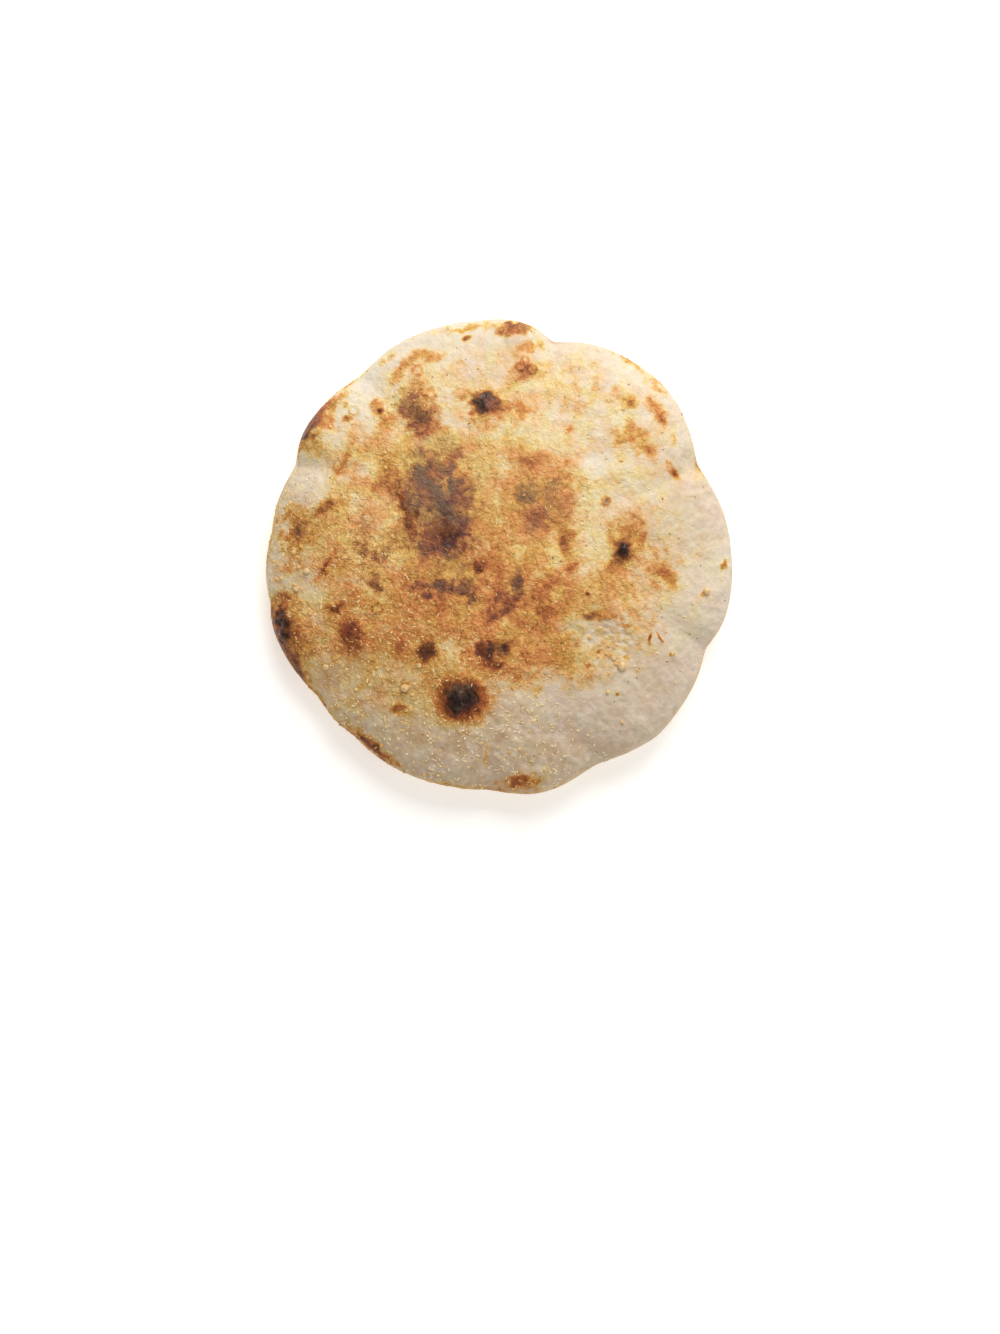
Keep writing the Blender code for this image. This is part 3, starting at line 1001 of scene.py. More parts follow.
@dataclass(frozen=True)
class BakedCrust:
    """Wheat dough baked on a hot stone.

    The eye sees a matt skin of fine granules, floury where it is pale, golden and uneven where
    it has toasted, and smooth, brittle and faintly glossy where it is black. Real granules are
    finer than these, which are as coarse as they need to be to show.
    """

    stops: tuple[tuple[float, str], ...] = (
        (0.00, "ebe1d3"),
        (0.12, "f1e3c9"),
        (0.24, "f6e1b1"),
        (0.36, "f4cd8b"),
        (0.48, "e6ae69"),
        (0.60, "cc8b50"),
        (0.71, "9c5f38"),
        (0.82, "6c402c"),
        (0.92, "40271b"),
        (1.00, "281710"),
    )
    # Ash, and painted glints on the char, mix the colour towards this grey.
    ash_and_glint_grey: str = "716a69"
    flour_white: str = "f6f0e6"
    # Dust and painted shade multiply the colour by this brown.
    dust_and_shade_brown: str = "dcc7ab"
    tints: tuple[tuple[float, str], ...] = ((0.41, "ffe1d6"), (0.59, "fffbda"))
    freckles: Pattern = Pattern(5.5, 4.0, 1.0)
    specks: Pattern = Pattern(1.4, 2.0, 1.6)
    tinting: Pattern = Pattern(9.0, 4.0, 0.6)
    stirring: Pattern = Pattern(2.5, 2.0, 0.0)
    flakes: Pattern = Pattern(2.6, 2.0, 1.8)
    granule_span: float = 1.25
    # How far the granules' cells are stirred out of their straight-edged shape.
    stir: float = 3.2
    # Dough that has begun to toast is uneven, while raw flour is even.
    unevenness: Remap = Remap(0.05, 0.42, 0.35, 1.0)
    tint_depth: Remap = Remap(0.1, 0.45, 0.25, 1.0)
    freckle_shift: Remap = Remap(0.34, 0.66, -0.05, 0.05, "SMOOTHSTEP")
    granule_shift: Remap = Remap(0.0, 1.0, -0.045, 0.045)
    speck_shift: Remap = Remap(0.25, 0.75, -0.075, 0.075)
    # Brightening of red, green and blue, painted into the colour: painted shade, warmer and darker, in the
    # hollows of granules and flakes, and painted highlight on their tops.
    granule_painted_light: Remap = Remap(0.1, 0.85, (1.13, 1.18, 1.24), (0.92, 0.89, 0.85))
    flake_painted_light: Remap = Remap(0.5, 1.5, (0.92, 0.90, 0.88), (1.25, 1.33, 1.42))
    roughness: Remap = Remap(0.3, 0.92, 0.86, 0.22)
    specular: float = 0.28
    # Toasting roughens the skin, and char glazes it over again.
    toasted_bump: Remap = Remap(0.08, 0.40, 0.30, 1.0)
    charred_bump: Remap = Remap(0.70, 0.88, 1.0, 0.35)
    granule_height: float = -1.1
    flake_height: float = 0.6
    bump_distance: float = 0.4

    def material(self) -> bpy.types.Material:
        """Builds the crust's material, which reads the attributes of toast, ash with its painted glints,
        flour, and dust with its painted shade.

        Returns:
            The new material.
        """
        material = bpy.data.materials.new("baked_wheat_crust")
        material.use_nodes = True
        tree = material.node_tree
        shader = tree.nodes["Principled BSDF"]
        place = add_node(tree, "ShaderNodeTexCoord").outputs["Object"]
        toast, ash_and_glint, flour, dust_and_shade = (
            add_node(tree, "ShaderNodeAttribute", attribute_name=label).outputs["Fac"]
            for label in ("toast", "ash_and_glint", "flour", "dust_and_shade")
        )
        freckles, specks, tinting, stirring, flakes = (
            add_node(
                tree,
                "ShaderNodeTexNoise",
                {
                    "Vector": place,
                    "Scale": per_mm(pattern.span),
                    "Detail": pattern.detail,
                    "Distortion": pattern.swirl,
                },
                noise_type="RIDGED_MULTIFRACTAL" if pattern is self.flakes else "FBM",
            ).outputs
            for pattern in (self.freckles, self.specks, self.tinting, self.stirring, self.flakes)
        )
        stirred = add_node(
            tree,
            "ShaderNodeVectorMath",
            {0: stirring["Color"], 1: (self.stir * MM,) * 3, 2: place},
            operation="MULTIPLY_ADD",
        ).outputs[0]
        granules = add_node(
            tree, "ShaderNodeTexVoronoi", {"Vector": stirred, "Scale": per_mm(self.granule_span)}
        ).outputs
        tone = add_node(tree, "ShaderNodeSeparateColor", {0: granules["Color"]}).outputs["Red"]
        uneven, tint_depth, freckle_shift, granule_shift, speck_shift, toasted_bump, charred_bump = (
            add_node(
                tree,
                "ShaderNodeMapRange",
                {
                    "Value": value,
                    "From Min": remap.low,
                    "From Max": remap.high,
                    "To Min": remap.first,
                    "To Max": remap.last,
                },
                interpolation_type=remap.blend,
            ).outputs["Result"]
            for value, remap in (
                (toast, self.unevenness),
                (toast, self.tint_depth),
                (freckles["Fac"], self.freckle_shift),
                (tone, self.granule_shift),
                (specks["Fac"], self.speck_shift),
                (toast, self.toasted_bump),
                (toast, self.charred_bump),
            )
        )
        shift = freckle_shift
        for finer in (granule_shift, speck_shift):
            shift = add_node(tree, "ShaderNodeMath", {0: shift, 1: finer}, operation="ADD").outputs[0]
        baked = add_node(
            tree, "ShaderNodeMath", {0: shift, 1: uneven, 2: toast}, operation="MULTIPLY_ADD"
        ).outputs[0]
        browning = add_node(tree, "ShaderNodeValToRGB", {0: baked})
        set_ramp(browning, self.stops)
        tints = add_node(tree, "ShaderNodeValToRGB", {0: tinting["Fac"]})
        set_ramp(tints, self.tints)
        granule_painted_light, flake_painted_light = (
            add_node(
                tree,
                "ShaderNodeMapRange",
                {6: value, 7: (remap.low,) * 3, 8: (remap.high,) * 3, 9: remap.first, 10: remap.last},
                data_type="FLOAT_VECTOR",
            ).outputs["Vector"]
            for value, remap in (
                (granules["Distance"], self.granule_painted_light),
                (flakes["Fac"], self.flake_painted_light),
            )
        )
        # Painted shade in the hollows and painted highlight on the tops of granules and flakes.
        light = add_node(
            tree, "ShaderNodeVectorMath", {0: granule_painted_light, 1: flake_painted_light}, operation="MULTIPLY"
        ).outputs[0]
        colour = browning.outputs["Color"]
        for share, coat, blend in (
            # Ash, with painted glints on the blister.
            (ash_and_glint, linear_colour(self.ash_and_glint_grey), "MIX"),
            (flour, linear_colour(self.flour_white), "MIX"),
            # Dust, which is also painted shade on the lower part and the rims.
            (dust_and_shade, linear_colour(self.dust_and_shade_brown), "MULTIPLY"),
            (tint_depth, tints.outputs["Color"], "MULTIPLY"),
            # Painted shade and painted highlight of the granules and flakes.
            (uneven, light, "MULTIPLY"),
        ):
            colour = add_node(
                tree,
                "ShaderNodeMix",
                {0: share, 6: colour, 7: coat},
                data_type="RGBA",
                blend_type=blend,
            ).outputs[2]
        roughness = add_node(
            tree,
            "ShaderNodeMapRange",
            {
                "Value": baked,
                "From Min": self.roughness.low,
                "From Max": self.roughness.high,
                "To Min": self.roughness.first,
                "To Max": self.roughness.last,
            },
        ).outputs["Result"]
        height = specks["Fac"]
        for ridge, strength in (
            (granules["Distance"], self.granule_height),
            (flakes["Fac"], self.flake_height),
        ):
            height = add_node(
                tree, "ShaderNodeMath", {0: ridge, 1: strength, 2: height}, operation="MULTIPLY_ADD"
            ).outputs[0]
        strength = add_node(
            tree, "ShaderNodeMath", {0: toasted_bump, 1: charred_bump}, operation="MULTIPLY"
        ).outputs[0]
        bump = add_node(
            tree,
            "ShaderNodeBump",
            {"Height": height, "Strength": strength, "Distance": self.bump_distance * MM},
        ).outputs["Normal"]
        tree.links.new(colour, shader.inputs["Base Color"])
        tree.links.new(roughness, shader.inputs["Roughness"])
        tree.links.new(bump, shader.inputs["Normal"])
        shader.inputs["Specular IOR Level"].default_value = self.specular
        return material


@dataclass(frozen=True)
class SemolinaGrain:
    """Coarse milled grain, which gives the eye hard, dry, faintly shiny bits of many tones."""

    name: str = "durum_semolina"
    stops: tuple[tuple[float, str], ...] = (
        (0.0, "f9e9c2"),
        (0.35, "efd196"),
        (0.6, "d9a75e"),
        (0.8, "a8713c"),
        (1.0, "5c3d2a"),
    )
    variation: Pattern = Pattern(1.2, 1.0, 0.0)
    # How the tone of a grain strays from the middle one, and browns with the crust below.
    tone_middle: float = 0.42
    tone_contrast: float = 1.4
    tone_lift: float = 0.05
    browning: float = 0.66
    roughness: float = 0.55
    specular: float = 0.35

    def material(self) -> bpy.types.Material:
        """Builds the grain's material, a tone for each grain and browner where it lies on char.

        Returns:
            The new material.
        """
        material = bpy.data.materials.new(self.name)
        material.use_nodes = True
        tree = material.node_tree
        shader = tree.nodes["Principled BSDF"]
        place = add_node(tree, "ShaderNodeTexCoord").outputs["Object"]
        toast = add_node(tree, "ShaderNodeAttribute", attribute_name="toast").outputs["Fac"]
        tone = add_node(
            tree,
            "ShaderNodeTexNoise",
            {
                "Vector": place,
                "Scale": per_mm(self.variation.span),
                "Detail": self.variation.detail,
                "Distortion": self.variation.swirl,
            },
        ).outputs["Fac"]
        strayed = add_node(
            tree, "ShaderNodeMath", {0: tone, 1: self.tone_middle}, operation="SUBTRACT"
        ).outputs[0]
        own_tone = add_node(
            tree,
            "ShaderNodeMath",
            {0: strayed, 1: self.tone_contrast, 2: self.tone_lift},
            operation="MULTIPLY_ADD",
        ).outputs[0]
        level = add_node(
            tree, "ShaderNodeMath", {0: toast, 1: self.browning, 2: own_tone}, operation="MULTIPLY_ADD"
        ).outputs[0]
        ramp = add_node(tree, "ShaderNodeValToRGB", {0: level})
        set_ramp(ramp, self.stops)
        tree.links.new(ramp.outputs["Color"], shader.inputs["Base Color"])
        shader.inputs["Roughness"].default_value = self.roughness
        shader.inputs["Specular IOR Level"].default_value = self.specular
        return material


GOLDEN_STOPS = ((0.0, "f0cf8c"), (0.4, "e3b368"), (0.65, "c98d48"), (0.85, "94602f"), (1.0, "54372a"))
DOUGH_STOPS = ((0.0, "ecd0a0"), (0.3, "e0b06c"), (0.6, "c4894c"), (1.0, "7a4e30"))
BRAN_STOPS = ((0.0, "b98a52"), (0.35, "98683a"), (0.6, "7a4e2c"), (0.8, "5a3822"), (1.0, "38241a"))


@dataclass(frozen=True)
class StudioFloor:
    """Uncoated white paper, which gives the eye an even matt ground with a faint glow."""

    colour: str = "f4f3f0"
    glow: float = 0.45
    roughness: float = 0.9
    fibres: Pattern = Pattern(1.5, 3.0, 0.0)
    fibre_strength: float = 0.05
    fibre_height: float = 0.1

    def material(self) -> bpy.types.Material:
        """Builds the paper's material.

        Returns:
            The new material.
        """
        material = bpy.data.materials.new("matt_white_paper")
        material.use_nodes = True
        tree = material.node_tree
        shader = tree.nodes["Principled BSDF"]
        place = add_node(tree, "ShaderNodeTexCoord").outputs["Object"]
        fibres = add_node(
            tree,
            "ShaderNodeTexNoise",
            {
                "Vector": place,
                "Scale": per_mm(self.fibres.span),
                "Detail": self.fibres.detail,
                "Distortion": self.fibres.swirl,
            },
        ).outputs["Fac"]
        bump = add_node(
            tree,
            "ShaderNodeBump",
            {"Height": fibres, "Strength": self.fibre_strength, "Distance": self.fibre_height * MM},
        )
        tree.links.new(bump.outputs["Normal"], shader.inputs["Normal"])
        shader.inputs["Base Color"].default_value = linear_colour(self.colour)
        shader.inputs["Roughness"].default_value = self.roughness
        shader.inputs["Emission Color"].default_value = linear_colour(self.colour)
        shader.inputs["Emission Strength"].default_value = self.glow
        return material


# --------------------------------------------------------------------------------------
# The crust
# --------------------------------------------------------------------------------------


@dataclass(frozen=True)
class CrustRelief:
    """Fine relief that the oven gives the dough, in millimetres along the skin's own normal.

    Layers are noise patterns. A pair of numbers is where a smooth step starts and how wide it is.
    """

    form: LoafForm = LoafForm()
    bake: BakeMap = BakeMap()
    lumps: tuple[Layer, ...] = (Layer(8.0, 0.46, 20), Layer(3.4, 0.32, 21), Layer(1.5, 0.20, 22))
    # Folds deepen once the dough has toasted.
    folds: tuple[Layer, ...] = (Layer(3.0, 1.0, 29),)
    fold_height: float = 0.24
    raw_fold: float = 0.4
    toasted: tuple[float, float] = (0.2, 0.3)
    # Small pits lie in groups.
    pit_spacing: float = 2.6
    pit_seed: int = 23
    pit_radius: float = 0.30
    pit_wall: float = 0.25
    pit_depth: float = 0.30
    pit_groups: tuple[Layer, ...] = (Layer(14.0, 2.0, 24),)
    pit_cover: float = 0.3
    # Char crackles.
    charred: tuple[float, float] = (0.62, 0.3)
    crackle: tuple[Layer, ...] = (Layer(2.4, 0.50, 25), Layer(1.2, 0.26, 26))
    # Wrinkles run inwards from the rim: how many lie in a degree, and how long they are.
    wrinkle_rim: tuple[float, float] = (0.72, 0.2)
    wrinkles_per_degree: float = 0.62
    wrinkle_length: float = 11.0
    wrinkle_height: float = 0.16
    wrinkle_seed: int = 27
    # The crater is sunk, with scraps standing in it.
    scrap_height: float = 0.4
    crater_depth: float = 0.7
    crater_floor: tuple[Layer, ...] = (Layer(1.4, 0.5, 28),)
    tear: Zone = TEAR
    tear_depth: float = 0.6
    tear_power: float = 3.0
    scab: Zone = SCAB
    scab_power: float = 5.0
    scab_folds: tuple[Layer, ...] = (Layer(5.0, 1.0, 30), Layer(2.0, 0.3, 31))
    scab_height: float = 1.6
    scab_middle: float = 0.42
    scab_slope: float = 2.0
    scab_fold_width: float = 0.35
    ring_height: float = 0.35
    under: tuple[Layer, ...] = (Layer(4.5, 0.30, 40), Layer(1.9, 0.16, 41))
    # Close to the rim's height both sides calm down, the upper one to this share.
    calm_width: float = 3.0
    calm_share: float = 0.25
    # The seam is a ridge with a groove below it, which wander up and down round the rim.
    seam_rim: tuple[float, float] = (0.93, 0.05)
    seam_radius: float = 78.0
    seam_wander: tuple[Layer, ...] = (Layer(16.0, 1.3, 30),)
    seam_pinch: tuple[Layer, ...] = (Layer(5.0, 0.25, 31),)
    seam_least_pinch: float = 0.75
    seam_drop: float = 0.6
    seam_width: float = 0.9
    seam_height: float = 0.42
    groove_depth: float = 0.32
    groove_drop: float = 2.0

    def on_upper(self, places: np.ndarray, toast: np.ndarray) -> np.ndarray:
        """Relief of the upper crust, with all that baking left on it.

        Args:
            places: one row of x, y, z in millimetres for each place.
            toast: how far each place is baked.

        Returns:
            How far each place is raised.
        """
        x = places[:, 0]
        y = places[:, 1]
        relief = layered(places, self.lumps)
        ridges = 0.5 - np.abs(layered(places, self.folds))
        relief += self.fold_height * ridges * (self.raw_fold + step_up(toast, *self.toasted))
        cells = cell_distance(places, self.pit_spacing, self.pit_seed)
        pits = eased((self.pit_radius - cells) / self.pit_wall)
        relief -= self.pit_depth * pits * eased(layered(places, self.pit_groups, self.pit_cover))
        relief += step_up(toast, *self.charred) * layered(places, self.crackle)
        relief += self.wrinkles(x, y)
        scraps = self.scrap_height * self.bake.scraps(self.bake.pressed(places))
        floor = layered(places, self.crater_floor, scraps - self.crater_depth)
        relief += bell(self.bake.reach(x, y, self.bake.crater), self.bake.crater_power) * floor
        relief -= self.tear_depth * bell(self.bake.reach(x, y, self.tear), self.tear_power)
        scab = self.scab_height * bell(self.bake.reach(x, y, self.scab), self.scab_power)
        folded = np.minimum(np.abs(layered(places, self.scab_folds)), self.scab_fold_width)
        relief += scab * (self.scab_middle - self.scab_slope * folded)
        relief += self.ring_height * self.bake.on_rings(places)
        calm = step_up(places[:, 2], self.form.rim_height, self.calm_width)
        return relief * (self.calm_share + (1.0 - self.calm_share) * calm)

    def wrinkles(self, x: np.ndarray, y: np.ndarray) -> np.ndarray:
        """Wrinkles that run inwards from the rim.

        Args:
            x: places across the loaf, in millimetres.
            y: places up the loaf, in millimetres.

        Returns:
            How far each place is raised, in millimetres.
        """
        angle = np.degrees(np.arctan2(y, x))
        turns = angle * self.wrinkles_per_degree
        spokes = np.column_stack((turns, np.hypot(x, y) / self.wrinkle_length, np.zeros_like(x)))
        rim = step_up(self.form.rim_share(x, y), *self.wrinkle_rim)
        return self.wrinkle_height * rim * noise_field(spokes, 1.0, self.wrinkle_seed)

    def on_under(self, places: np.ndarray) -> np.ndarray:
        """Relief of the underside, which is shallow."""
        calm = eased((self.form.rim_height - places[:, 2]) / self.calm_width)
        return layered(places, self.under) * calm

    def seam(self, places: np.ndarray) -> np.ndarray:
        """The crimped seam round the rim: a pinched ridge that wanders up and down.

        Args:
            places: one row of x, y, z in millimetres for each place.

        Returns:
            How far each place is raised, in millimetres.
        """
        x = places[:, 0]
        y = places[:, 1]
        angle = np.degrees(np.arctan2(y, x))
        around = from_polar(np.full_like(angle, self.seam_radius), angle, np.zeros_like(angle))
        off = places[:, 2] - self.form.rim_height + self.seam_drop - layered(around, self.seam_wander)
        outer = step_up(self.form.rim_share(x, y), *self.seam_rim)
        pinch = layered(around, self.seam_pinch, self.seam_least_pinch)
        ridge = self.seam_height * bell(off / self.seam_width)
        groove = self.groove_depth * bell((off + self.groove_drop) / self.seam_width)
        return outer * pinch * (ridge - groove)


@dataclass
class Crust:
    """The loaf's whole skin, as one closed mesh."""

    form: LoafForm = field(default_factory=LoafForm)
    bake: BakeMap = field(default_factory=BakeMap)
    relief: CrustRelief = field(default_factory=CrustRelief)
    finish: BakedCrust = field(default_factory=BakedCrust)
    upper_spacing: float = 0.56
    under_spacing: float = 1.15
    # Rings lie closer together on the turn below the rim than round it.
    turn_closeness: float = 0.7
    least_count: int = 6
    arc_samples: int = 3000
    # How far in from the rim the seam is browned.
    seam_width: float = 1.1
    # Flour lies in thin patches, thicker in the crater, and none of it is left on toasted dough.
    flour_patches: tuple[Layer, ...] = (Layer(8.0, 1.0, 50), Layer(2.8, 0.7, 51))
    flour_cover: float = 0.25
    flour_contrast: float = 1.3
    flour_thickness: float = 0.24
    crater_cover: float = 0.5
    crater_flour: float = 0.12
    flourless: tuple[float, float] = (0.12, 0.28)
    name: str = "pita_crust"

    @staticmethod
    def even_shares(
        share: np.ndarray, width: float, rise: np.ndarray, spacing: float
    ) -> np.ndarray:
        """Shares that lie evenly along a curve of the loaf's cross-section.

        Args:
            share: many shares of the way along the curve, from its start to the rim.
            width: how far the curve runs outwards.
            rise: the curve's height at each share.
            spacing: the distance wanted between two rings.

        Returns:
            The shares, from the curve's start to the rim, both included.
        """
        steps = np.hypot(np.diff(share * width), np.diff(rise))
        length = np.concatenate(([0.0], np.cumsum(steps)))
        count = round(length[-1] / spacing)
        return np.interp(np.linspace(0.0, length[-1], count + 1), length, share)

    def upper_shares(self) -> np.ndarray:
        """Shares of the upper rings, from the first one out to the rim.

        Returns:
            The shares of the loaf's radius, in order.
        """
        form = self.form
        share = np.sin(np.linspace(0.0, 0.5 * math.pi, self.arc_samples))
        dome = (1.0 - share**form.dome_power) ** form.rim_rounding
        rise = (form.thickness - form.rim_height) * dome
        return self.even_shares(share, form.radius, rise, self.upper_spacing)[1:]

    def lower_shares(self) -> np.ndarray:
        """Shares of the rings below the rim, from just under it in to the base's edge.

        Returns:
            The shares, from nearly 1 down to 0.
        """
        form = self.form
        share = np.sin(np.linspace(0.0, 0.5 * math.pi, self.arc_samples))
        rise = form.rim_height * (1.0 - share**form.under_power) ** form.rim_rounding
        width = form.radius * (1.0 - form.base_share)
        spacing = self.turn_closeness * self.under_spacing
        return self.even_shares(share, width, rise, spacing)[::-1][1:]

    def base_shares(self) -> np.ndarray:
        """Shares of the base's width for the flat rings inside its edge."""
        count = round(self.form.radius * self.form.base_share / self.under_spacing)
        return np.linspace(1.0, 0.0, count + 1)[1:-1]

    def ring_angles(self, share: float, spacing: float) -> np.ndarray:
        """Directions in degrees of the vertices of a ring that is this share of the width."""
        count = max(self.least_count, round(2.0 * math.pi * share * self.form.radius / spacing))
        return np.arange(count) * 360.0 / count

    def rings(self) -> list[np.ndarray]:
        """All rings of places, in order from the crown over the rim to the middle of the base.

        Returns:
            Rows of x, y, z in millimetres for each ring.
        """
        form = self.form
        rings = [form.upper(np.zeros(1), np.zeros(1))]
        for share in self.upper_shares():
            angle = self.ring_angles(share, self.upper_spacing)
            rings.append(form.upper(angle, np.full(len(angle), min(share, 1.0))))
        for share in self.lower_shares():
            widened = (self.under_spacing - self.upper_spacing) * eased(2.0 * (1.0 - share))
            reach = form.base_share + (1.0 - form.base_share) * share
            angle = self.ring_angles(reach, self.upper_spacing + widened)
            rings.append(form.lower(angle, np.full(len(angle), max(share, 0.0))))
        for share in self.base_shares():
            angle = self.ring_angles(share * form.base_share, self.under_spacing)
            radius = share * form.ring_radius(angle, np.full(len(angle), form.base_share))
            rings.append(from_polar(radius, angle, np.zeros(len(angle))))
        rings.append(np.zeros((1, 3)))
        return rings

    @staticmethod
    def zip_rings(first: int, first_count: int, second: int, second_count: int) -> np.ndarray:
        """Triangles between two closed rings that may have different numbers of vertices.

        Args:
            first: number of the first ring's first vertex.
            first_count: how many vertices that ring has, 1 for a pole.
            second: number of the next ring's first vertex.
            second_count: how many vertices that ring has, 1 for a pole.

        Returns:
            One row of three vertex numbers for each triangle.
        """
        first_steps = first_count if first_count > 1 else 0
        second_steps = second_count if second_count > 1 else 0
        progress = np.concatenate(
            (
                (np.arange(first_steps) + 0.5) / max(first_steps, 1),
                (np.arange(second_steps) + 0.5) / max(second_steps, 1),
            )
        )
        on_first = np.concatenate((np.ones(first_steps, bool), np.zeros(second_steps, bool)))
        order = np.argsort(progress, kind="stable")
        on_first = on_first[order]
        here_first = np.concatenate(([0], np.cumsum(on_first)))[:-1]
        here_second = np.concatenate(([0], np.cumsum(~on_first)))[:-1]
        start = first + here_first % first_count
        across = second + here_second % second_count
        onward = np.where(
            on_first, first + (here_first + 1) % first_count, second + (here_second + 1) % second_count
        )
        return np.column_stack((start, across, onward))

    def baked(self, places: np.ndarray, is_upper: np.ndarray) -> tuple[np.ndarray, np.ndarray]:
        """Toasting and ash, with its painted glints, of the whole skin.

        Args:
            places: one row of x, y, z in millimetres for each place.
            is_upper: True for each place of the upper crust.

        Returns:
            Toast and ash, with its painted glints, of each place.
        """
        x = places[:, 0]
        y = places[:, 1]
        toast, ash_and_glint = self.bake.toast_ash_and_glint(places)
        inside = self.form.outline_radius(np.degrees(np.arctan2(y, x))) - np.hypot(x, y)
        seam = self.bake.seam_toast(places, bell(inside / self.seam_width))
        toast = np.maximum(toast, seam)
        under = self.bake.under_toast(places)
        depth = eased((self.form.rim_height - places[:, 2]) / self.form.rim_height)
        toast = np.where(is_upper, toast, toast * (1.0 - depth) + under * depth)
        return toast, np.where(is_upper, ash_and_glint, 0.0)

    def build(self) -> bpy.types.Object:
        """Makes the skin, bakes it into attributes and puts it on the frame.

        Returns:
            The crust's object, with its place in its mesh.
        """
        rings = self.rings()
        starts = np.concatenate(([0], np.cumsum([len(ring) for ring in rings])))
        places = np.concatenate(rings)
        faces = np.concatenate(
            [
                self.zip_rings(int(starts[i]), len(rings[i]), int(starts[i + 1]), len(rings[i + 1]))
                for i in range(len(rings) - 1)
            ]
        )
        mesh = bpy.data.meshes.new(self.name)
        mesh.from_pydata(places.tolist(), [], faces.tolist())
        normals = np.zeros(len(places) * 3)
        mesh.vertices.foreach_get("normal", normals)
        is_upper = np.arange(len(places)) < starts[len(self.upper_shares()) + 1]
        toast, ash_and_glint = self.baked(places, is_upper)
        relief = np.where(is_upper, self.relief.on_upper(places, toast), 0.0)
        relief[~is_upper] = self.relief.on_under(places[~is_upper])
        relief += self.relief.seam(places)
        raised = places + normals.reshape(-1, 3) * relief[:, None]
        raised[:, 2] = np.maximum(raised[:, 2], 0.0)
        mesh.vertices.foreach_set("co", self.on_frame(raised).ravel())
        coats = {
            "toast": toast,
            "ash_and_glint": ash_and_glint,
            "flour": self.flour(places, toast),
            # Dust, with painted shade on the lower part and the rims.
            "dust_and_shade": self.bake.dust_and_shade_cover(places),
        }
        for label, values in coats.items():
            attribute = mesh.attributes.new(label, "FLOAT", "POINT")
            attribute.data.foreach_set("value", values.astype(np.float32))
        mesh.update()
        mesh.shade_smooth()
        mesh.materials.append(self.finish.material())
        crust = bpy.data.objects.new(self.name, mesh)
        bpy.context.scene.collection.objects.link(crust)
        return crust

    def flour(self, places: np.ndarray, toast: np.ndarray) -> np.ndarray:
        """Dusting of flour: thin patches on the pale dough, and almost none on the char.

        Args:
            places: one row of x, y, z in millimetres for each place.
            toast: how far each place is baked.

        Returns:
            The flour at each place, from 0 to 1.
        """
        patches = layered(places, self.flour_patches)
        reach = self.bake.reach(places[:, 0], places[:, 1], self.bake.crater)
        crater = bell(reach, self.bake.crater_power)
        cover = eased(self.flour_cover + self.flour_contrast * patches + self.crater_cover * crater)
        thickness = self.flour_thickness + self.crater_flour * crater
        return thickness * cover * (1.0 - step_up(toast, *self.flourless))

    def on_frame(self, places: np.ndarray) -> np.ndarray:
        """Turns the dough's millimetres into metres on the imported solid's place.

        Args:
            places: one row of x, y, z in millimetres for each place.

        Returns:
            The same rows in metres, in the frame.
        """
        low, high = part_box(NODE)
        middle = self.form.footprint_middle()
        shift = np.array(((low.x + high.x) / 2.0, (low.y + high.y) / 2.0, low.z))
        return (places - np.array((middle[0], middle[1], 0.0))) * MM + shift


# --------------------------------------------------------------------------------------
# What is scattered over the crust
# --------------------------------------------------------------------------------------


class GrainKind(Enum):
    """The kinds of small thing that lie on the crust."""

    SEMOLINA = "semolina"
    TOASTED = "toasted_semolina"
    BRAN = "bran_flakes"
    CRUMB = "dough_crumbs"


# Least and greatest stretch of each kind, as length, width and height against its size.
STRETCHES = {
    GrainKind.SEMOLINA: ((0.60, 0.30, 0.20), (1.70, 0.52, 0.38)),
    GrainKind.TOASTED: ((0.70, 0.28, 0.18), (1.90, 0.50, 0.36)),
    GrainKind.BRAN: ((0.90, 0.35, 0.12), (2.00, 0.80, 0.22)),
    GrainKind.CRUMB: ((0.60, 0.60, 0.45), (1.30, 1.10, 0.90)),
}


